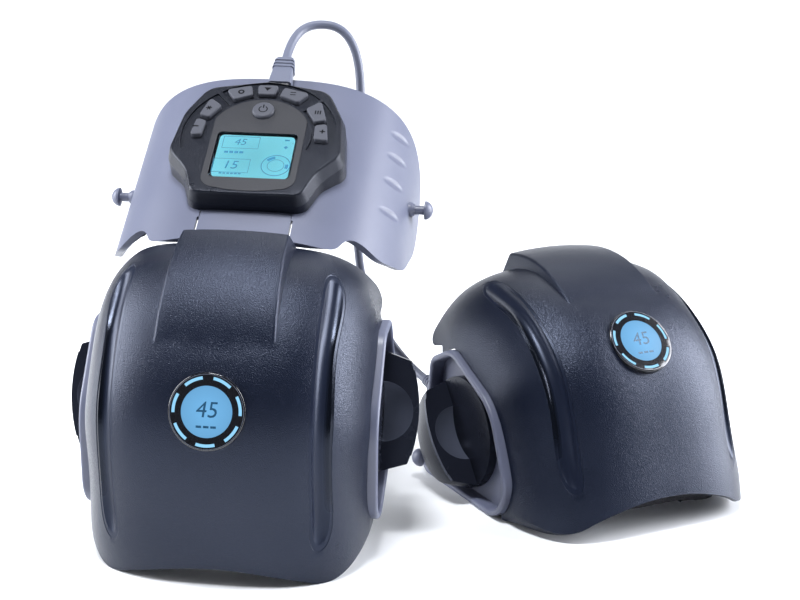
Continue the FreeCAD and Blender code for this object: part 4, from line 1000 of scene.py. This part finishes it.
@dataclass
class KneeUnit:
    """One helmet-shaped knee unit with its display, ears and knobs."""

    unit: Unit
    place: Matrix
    body: str = "machine"
    display_tilt: float = 15.0
    lens_reach: float = 0.017
    digits: str = "45"
    digit_size: float = 13.0
    digit_centre: Point = (0.0, 0.8)
    digit_slant: float = 0.12
    bars_x: Reals = (-4.2, 0.0, 4.2)
    bars_y: float = -8.6
    bar_size: Point = (3.2, 1.3)
    highlight_radii: Point = (21.15, 21.45)
    knob_centre: Point = (100.5, -29.0)
    knob_turn: float = 10.0
    scoop_x: float = 88.4
    scoop_rise: float = 22.286

    LOOKS: ClassVar[dict[str, Look]] = {
        "front_shell": SHELL, "display_bezel": GLOSS, "display_light_ring": RING,
        "display_board": BOARD, "inner_frame": FRAME, "heat_cool_module": CAST,
        "vibration_motor": STEEL, "strap_stud_left": FRAME, "strap_stud_right": FRAME,
    }

    def named(self, part: str) -> str:
        """Name of one of the unit's nodes or pieces."""
        return f"{self.unit.value}_{part}"

    def dress_sides(self) -> None:
        """Gives groove trims their gloss with a painted dark reflection, and knobs their painted
        highlight.
        """
        # The trims' darker zone colour is a painted dark reflection on the glossy outer wall.
        groove = GrooveGlossReflectionFinish(
            self.named("groove_trim"), (0.0085, 0.0115, 0.023), (0.28, 0.34), 2100.0, 0.1, 0.2,
            specular=0.28, tint=NAVY_SHEEN, place=self.place, painted_light_colour=(0.003, 0.004, 0.007),
            zone_rough=0.13,
        )
        hub = self.place @ Matrix.Translation((0.0, *self.knob_centre))
        hub = hub @ turned(-self.knob_turn, "X")
        for side in Side:
            name = side.name.lower()
            dress(self.named(f"groove_trim_{name}"), groove)
            # The knobs' paler zone colour is a painted highlight on the ridge and in the scoop.
            dress(self.named(f"knob_{name}"), ScoopHighlightFinish(
                self.named(f"knob_{name}_black"), (0.01, 0.0115, 0.018), (0.22, 0.3), 1400.0,
                0.1, 0.12, specular=0.14, tint=NAVY_SHEEN, place=hub,
                painted_light_colour=(0.05, 0.056, 0.078), zone_rough=0.2,
                ball=Vector((side.value * self.scoop_x, -self.scoop_rise, 0.0)),
            ))

    def print_display(self) -> None:
        """Prints plain digits on the lit lens and a painted highlight ring round its bezel."""
        face = self.place @ turned(90.0 - self.display_tilt, "X")
        digits = Print(face, 1.58, 1.66, INK, self.body)
        digits.words(
            self.named("lens_digits"), self.digits, self.digit_size, self.digit_centre,
            self.digit_slant,
        )
        bars = [bar((x, self.bars_y), *self.bar_size) for x in self.bars_x]
        Print(face, 1.3, 1.5, INK, self.body).figures(self.named("lens_bars"), bars)
        # Painted highlight: a pale thin ring printed round the bezel.
        line = ring((0.0, 0.0), *self.highlight_radii, 72)
        Print(face, 1.3, 1.43, BEZEL_HIGHLIGHT, self.body).figures(self.named("bezel_line"), line)

    def build(self) -> None:
        """Builds and dresses the whole unit."""
        for part, look in self.LOOKS.items():
            dress(self.named(part), look)
        dress(self.named("display_lens"), Lamp(
            self.named("lens_light"), (0.18, 0.48, 0.82), 0.92, 0.78,
            self.place.translation * MM, self.lens_reach,
        ))
        self.dress_sides()
        pad = LinerPad(self.named("liner_pad"), self.place, self.body).build()
        self.print_display()
        LOG.info("%s unit dressed", self.unit.value)


@dataclass
class ThighSaddle:
    """Plate over the thigh with its studs, tongue, hinge and pad."""

    body: str = "thigh"
    dents_up: Reals = (126.4, 106.0, 83.0, 56.0)
    dent_x: float = 84.2
    dent_z: float = -31.4
    dent_way: Vector = field(default_factory=lambda: Vector((0.5, 0.33, -0.8)))

    def dent_spots(self) -> tuple[Matrix, ...]:
        """Frames of the soft dents along the plate's right side."""
        turn = squared(self.dent_way, Vector((0.0, 1.0, 0.0)))
        return tuple(
            plate_place() @ Matrix.Translation((self.dent_x, y, self.dent_z)) @ turn
            for y in self.dents_up
        )

    def build(self) -> None:
        """Dresses the saddle's nodes and builds its pad."""
        for node in ("hinge_tongue", "thigh_stud_left", "thigh_stud_right"):
            dress(node, FRAME)
        dress("thigh_plate", DentFinish(
            "plate_blue_grey", FRAME.colour, FRAME.rough, FRAME.cell, FRAME.depth, FRAME.shade,
            spots=self.dent_spots(),
        ))
        dress("thigh_hinge_pin", STEEL)
        pad = ThighPad("thigh_pad", plate_place(), self.body).build()
        LOG.info("saddle dressed")


@dataclass
class Controller:
    """Push-button controller with its lit display."""

    body: str = "thigh"
    place: Matrix = field(default_factory=plate_place)
    glass_top: float = 13.3
    glow_centre: Point = (0.0, 58.0)
    glow_reach: float = 0.034
    key_top: float = 15.2
    key_centre: float = 78.0
    key_reach: float = 40.9
    power_top: float = 15.6
    power_centre: Point = (0.0, 99.0)
    dial: Point = (15.5, 50.0)
    ink: float = 0.04
    slant: float = 0.15

    LOOKS: ClassVar[dict[str, Look]] = {
        "base_case": CASE, "top_case": CASE, "face_insert": INSERT, "lcd_glass": WINDOW,
        "board": BOARD, "key_mat": KEY, "battery": CELL, "socket": STEEL,
    }
    # Sign of each key on the arc: the key's angle in degrees, and outlines round its middle.
    SIGNS: ClassVar[dict[str, tuple[float, list[Outline]]]] = {
        "key_minus": (175.5, [bar((0, 0), 4.0, 1.1)]),
        "key_star": (149.5, [bar((0, 0), 4.0, 0.8, turn) for turn in (0.0, 60.0, 120.0)]),
        "key_circle": (114.5, ring((0, 0), 1.0, 2.1, 24)),
        "key_down": (90.2, [[(-2.4, 1.4), (0.0, -1.8), (2.4, 1.4)]]),
        "key_mode": (65.5, [bar((0, y), 3.6, 0.7) for y in (1.1, -1.1)]),
        "key_heat": (29.5, [bar((x, 0), 0.8, 3.4) for x in (-1.6, 0, 1.6)]),
        "key_cold": (3.5, [bar((0, 0), 3.6, 0.9, turn) for turn in (0.0, 90.0)]),
    }

    def print_screen(self) -> None:
        """Prints the lit screen's segments on its glass."""
        parts = ring(self.dial, 8.7, 9.3, 48) + ring(self.dial, 5.0, 5.4, 40)
        parts += ring(self.dial, 6.0, 8.0, 8, 100.0, 44.0)
        parts += ring(self.dial, 6.0, 8.0, 6, -20.0, 30.0)
        parts += box((-12.5, 48.5), (23.0, 12.0), 0.35) + box((-9.5, 69.5), (23.0, 10.5), 0.35)
        parts += [bar((-17.5 + 3.2 * index, 60.6), 2.5, 1.8) for index in range(4)]
        parts += [bar((-18.0 + 2.4 * index, 41.5), 1.8, 1.0) for index in range(6)]
        parts += [bar((19.5, 73.0), 3.0, 1.2), bar((19.5, 66.5), 2.0, 2.0, 45.0)]
        screen = Print(self.place, self.glass_top, self.glass_top + self.ink, SEGMENT, self.body)
        screen.figures("screen_segments", parts)
        screen.words("screen_minutes", "15", 10.0, (-13.0, 48.8), self.slant)
        screen.words("screen_heat", "45", 8.0, (-10.0, 69.8), self.slant)

    def print_sign(self, key: str, outlines: list[Outline], centre: Point, top: float) -> None:
        """Prints a sign on a key, whose body carries the same name.

        Args:
            key: Name of the key.
            outlines: Sign round the origin.
            centre: The key's middle.
            top: Height of the key's face.
        """
        moved = [[(x + centre[0], y + centre[1]) for x, y in outline] for outline in outlines]
        Print(self.place, top - 0.02, top + 0.03, MARK, key).figures(key + "_sign", moved)

    def print_signs(self) -> None:
        """Prints the plain signs on all keys."""
        for key, (angle, outlines) in self.SIGNS.items():
            a = math.radians(angle)
            y = self.key_centre + self.key_reach * math.sin(a)
            self.print_sign(key, outlines, (self.key_reach * math.cos(a), y), self.key_top)
        power = ring((0, 0), 2.3, 3.0, 30, 120.0, 300.0) + [bar((0, 2.6), 0.8, 3.2)]
        self.print_sign("key_power", power, self.power_centre, self.power_top)

    def build(self) -> None:
        """Dresses the controller's nodes and prints its face."""
        for part, look in self.LOOKS.items():
            dress("controller_" + part, look)
        for key in ("key_power", *self.SIGNS):
            dress(key, KEY)
        middle = self.place @ Vector((*self.glow_centre, self.glass_top)) * MM
        lamp = Lamp("lcd_cyan", (0.18, 0.52, 0.6), 0.95, 1.3, middle, self.glow_reach)
        dress("controller_lcd_module", lamp)
        self.print_screen()
        self.print_signs()
        LOG.info("controller dressed")


@dataclass
class LinkCord:
    """Cord from the controller's plug to the second unit's gland.

    The ends are in the part's frame, the corners of the route in the main unit's.
    """

    diameter: float = 6.0
    length: float = 337.0
    exit: Vector = field(default_factory=lambda: Vector((-100.83, 63.7, 283.46)))
    end: Vector = field(default_factory=lambda: Vector((-1.61, 72.63, 63.2)))
    corners: tuple[Triple, ...] = (
        (5.0, 238.0, 184.0), (16.0, 253.0, 194.5), (39.5, 257.0, 192.0), (51.5, 255.0, 166.0),
        (51.0, 250.0, 112.0), (50.0, 246.0, 55.0), (56.0, 247.0, 8.0), (72.0, 250.0, -24.0),
        (92.3, 246.1, -47.2),
    )

    def points(self) -> list[Vector]:
        """Control points of the route, in metres."""
        middle = [MAIN_ORIGIN + Vector(corner) for corner in self.corners]
        return [point * MM for point in [self.exit, *middle, self.end]]

    def sweep(self, name: str, radius: float) -> Mesh:
        """Mesh of the route's spline, bare or as a tube.

        Args:
            name: Name of the mesh.
            radius: Tube's radius in metres, or nought for the bare line.

        Returns:
            The mesh.
        """
        curve = bpy.data.curves.new(name, "CURVE")
        curve.dimensions = "3D"
        curve.bevel_depth = radius
        curve.bevel_resolution = 6
        curve.use_fill_caps = True
        curve.resolution_u = 24
        spline = curve.splines.new("NURBS")
        points = self.points()
        spline.points.add(len(points) - 1)
        for point, place in zip(spline.points, points):
            point.co = (*place, 1.0)
        spline.order_u = 3
        spline.use_endpoint_u = True
        mesh = take_mesh(add_object(name + "_holder", curve), name)
        bpy.data.curves.remove(curve)
        return mesh

    def build(self) -> None:
        path = [tuple(vertex.co) for vertex in self.sweep("link_cord_line", 0.0).vertices]
        tube = self.sweep("link_cord_tube", self.diameter * MM / 2)
        tube.shade_smooth()
        tube.materials.clear()
        tube.materials.append(CORD.material())
        thing = add_object("link_cord_tube", tube)
        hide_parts("link_cord")
        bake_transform(thing)
        for node in ("link_plug", "link_gland"):
            dress(node, CORD)
        dress("link_plug_contacts", STEEL)
        LOG.info("cord built")


# --- Studio, in metres ---
@dataclass(frozen=True)
class SoftLight:
    """Rectangular area light turned to a point."""

    name: str
    eye: Triple
    aim: Triple
    size: Point
    power: float
    colour: Colour

    def build(self) -> None:
        """Adds the light to the scene."""
        data = bpy.data.lights.new(self.name, "AREA")
        data.shape = "RECTANGLE"
        data.size, data.size_y = self.size
        data.energy = self.power
        data.color = self.colour
        turn = (Vector(self.aim) - Vector(self.eye)).to_track_quat("-Z", "Y")
        place = Matrix.Translation(self.eye) @ turn.to_matrix().to_4x4()
        add_object(self.name, data).matrix_world = place


@dataclass
class Studio:
    """Floor, lights, world and camera."""

    lens: float = 72.0
    sensor: float = 36.0
    eye: Triple = (0.08907, -0.99415, 0.4122)
    right: Triple = (0.994, 0.109, 0.022)
    up: Triple = (-0.05, 0.259, 0.965)
    floor_x: float = 3.2
    floor_front: float = -2.6
    floor_bend: float = 2.2
    bend_radius: float = 0.4
    wall_top: float = 0.8
    sky: Colour = (0.95, 0.97, 1.0)
    sky_level: float = 0.1

    CENTRE: ClassVar[Triple] = (0.0, 0.0, 0.12)
    LIGHTS: ClassVar[tuple[SoftLight, ...]] = (
        SoftLight("left_strip", (-1.8, -0.1, 0.9), CENTRE, (0.9, 1.7), 75.0, (0.93, 0.95, 1.0)),
        SoftLight("right_strip", (1.8, 0.45, 0.8), CENTRE, (1.0, 1.7), 100.0, (0.92, 0.94, 1.0)),
        SoftLight("key_light", (-0.15, -0.5, 2.2), CENTRE, (0.7, 0.4), 56.0, (0.94, 0.96, 1.0)),
        SoftLight(
            "back_light", (0.0, 2.0, 2.2), (0.0, 1.0, 0.0), (2.4, 0.8), 25.0, (0.96, 0.98, 1.0)
        ),
    )

    def place_camera(self) -> None:
        """Places the camera at the viewing angle."""
        data = bpy.data.cameras.new("camera")
        data.lens = self.lens
        data.sensor_width = self.sensor
        data.clip_end = 50.0
        thing = add_object("camera", data)
        turn = squared(Vector(self.right), Vector(self.up))
        thing.matrix_world = Matrix.Translation(self.eye) @ turn
        bpy.context.scene.camera = thing

    def lay_floor(self) -> None:
        """Adds the pale floor that curves up behind."""
        r = self.bend_radius
        bend = [
            (self.floor_bend + r * math.sin(math.radians(a)), r - r * math.cos(math.radians(a)))
            for a in range(0, 91, 10)
        ]
        profile = [(self.floor_front, 0.0), *bend, (self.floor_bend + r, self.wall_top)]
        build = bmesh.new()
        rows = [
            [build.verts.new((x, y, z)) for y, z in profile] for x in (-self.floor_x, self.floor_x)
        ]
        for a, b, c, d in zip(rows[0], rows[1], rows[1][1:], rows[0][1:]):
            build.faces.new((a, b, c, d))
        mesh = take_build(build, "floor")
        mesh.shade_smooth()
        mesh.materials.append(FLOOR.material())
        add_object("floor", mesh)

    def light_world(self) -> None:
        """Makes a dim sky that the camera itself sees white."""
        world = bpy.data.worlds.new("studio")
        world.use_nodes = True
        tree = Tree(world.node_tree)
        level = tree.add("ShaderNodeMapRange", {
            "Value": tree.add("ShaderNodeLightPath", {}, "Is Camera Ray"),
            "To Min": self.sky_level, "To Max": 1.0,
        })
        background = world.node_tree.nodes["Background"]
        tree.feed(background, {"Color": rgba(self.sky), "Strength": level})
        bpy.context.scene.world = world
        bpy.context.scene.view_settings.view_transform = "Standard"

    def build(self) -> None:
        """Builds the whole studio."""
        self.place_camera()
        self.lay_floor()
        for light in self.LIGHTS:
            light.build()
        self.light_world()
        LOG.info("studio built")


def main() -> None:
    """Builds every sub-assembly in order."""
    logging.basicConfig(level=logging.INFO, format="%(name)s: %(message)s")
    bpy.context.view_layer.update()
    Studio().build()
    LinkCord().build()
    KneeUnit(Unit.MAIN, main_place()).build()
    KneeUnit(Unit.SECOND, second_place()).build()
    ThighSaddle().build()
    Controller().build()


if __name__ == "__main__":
    main()
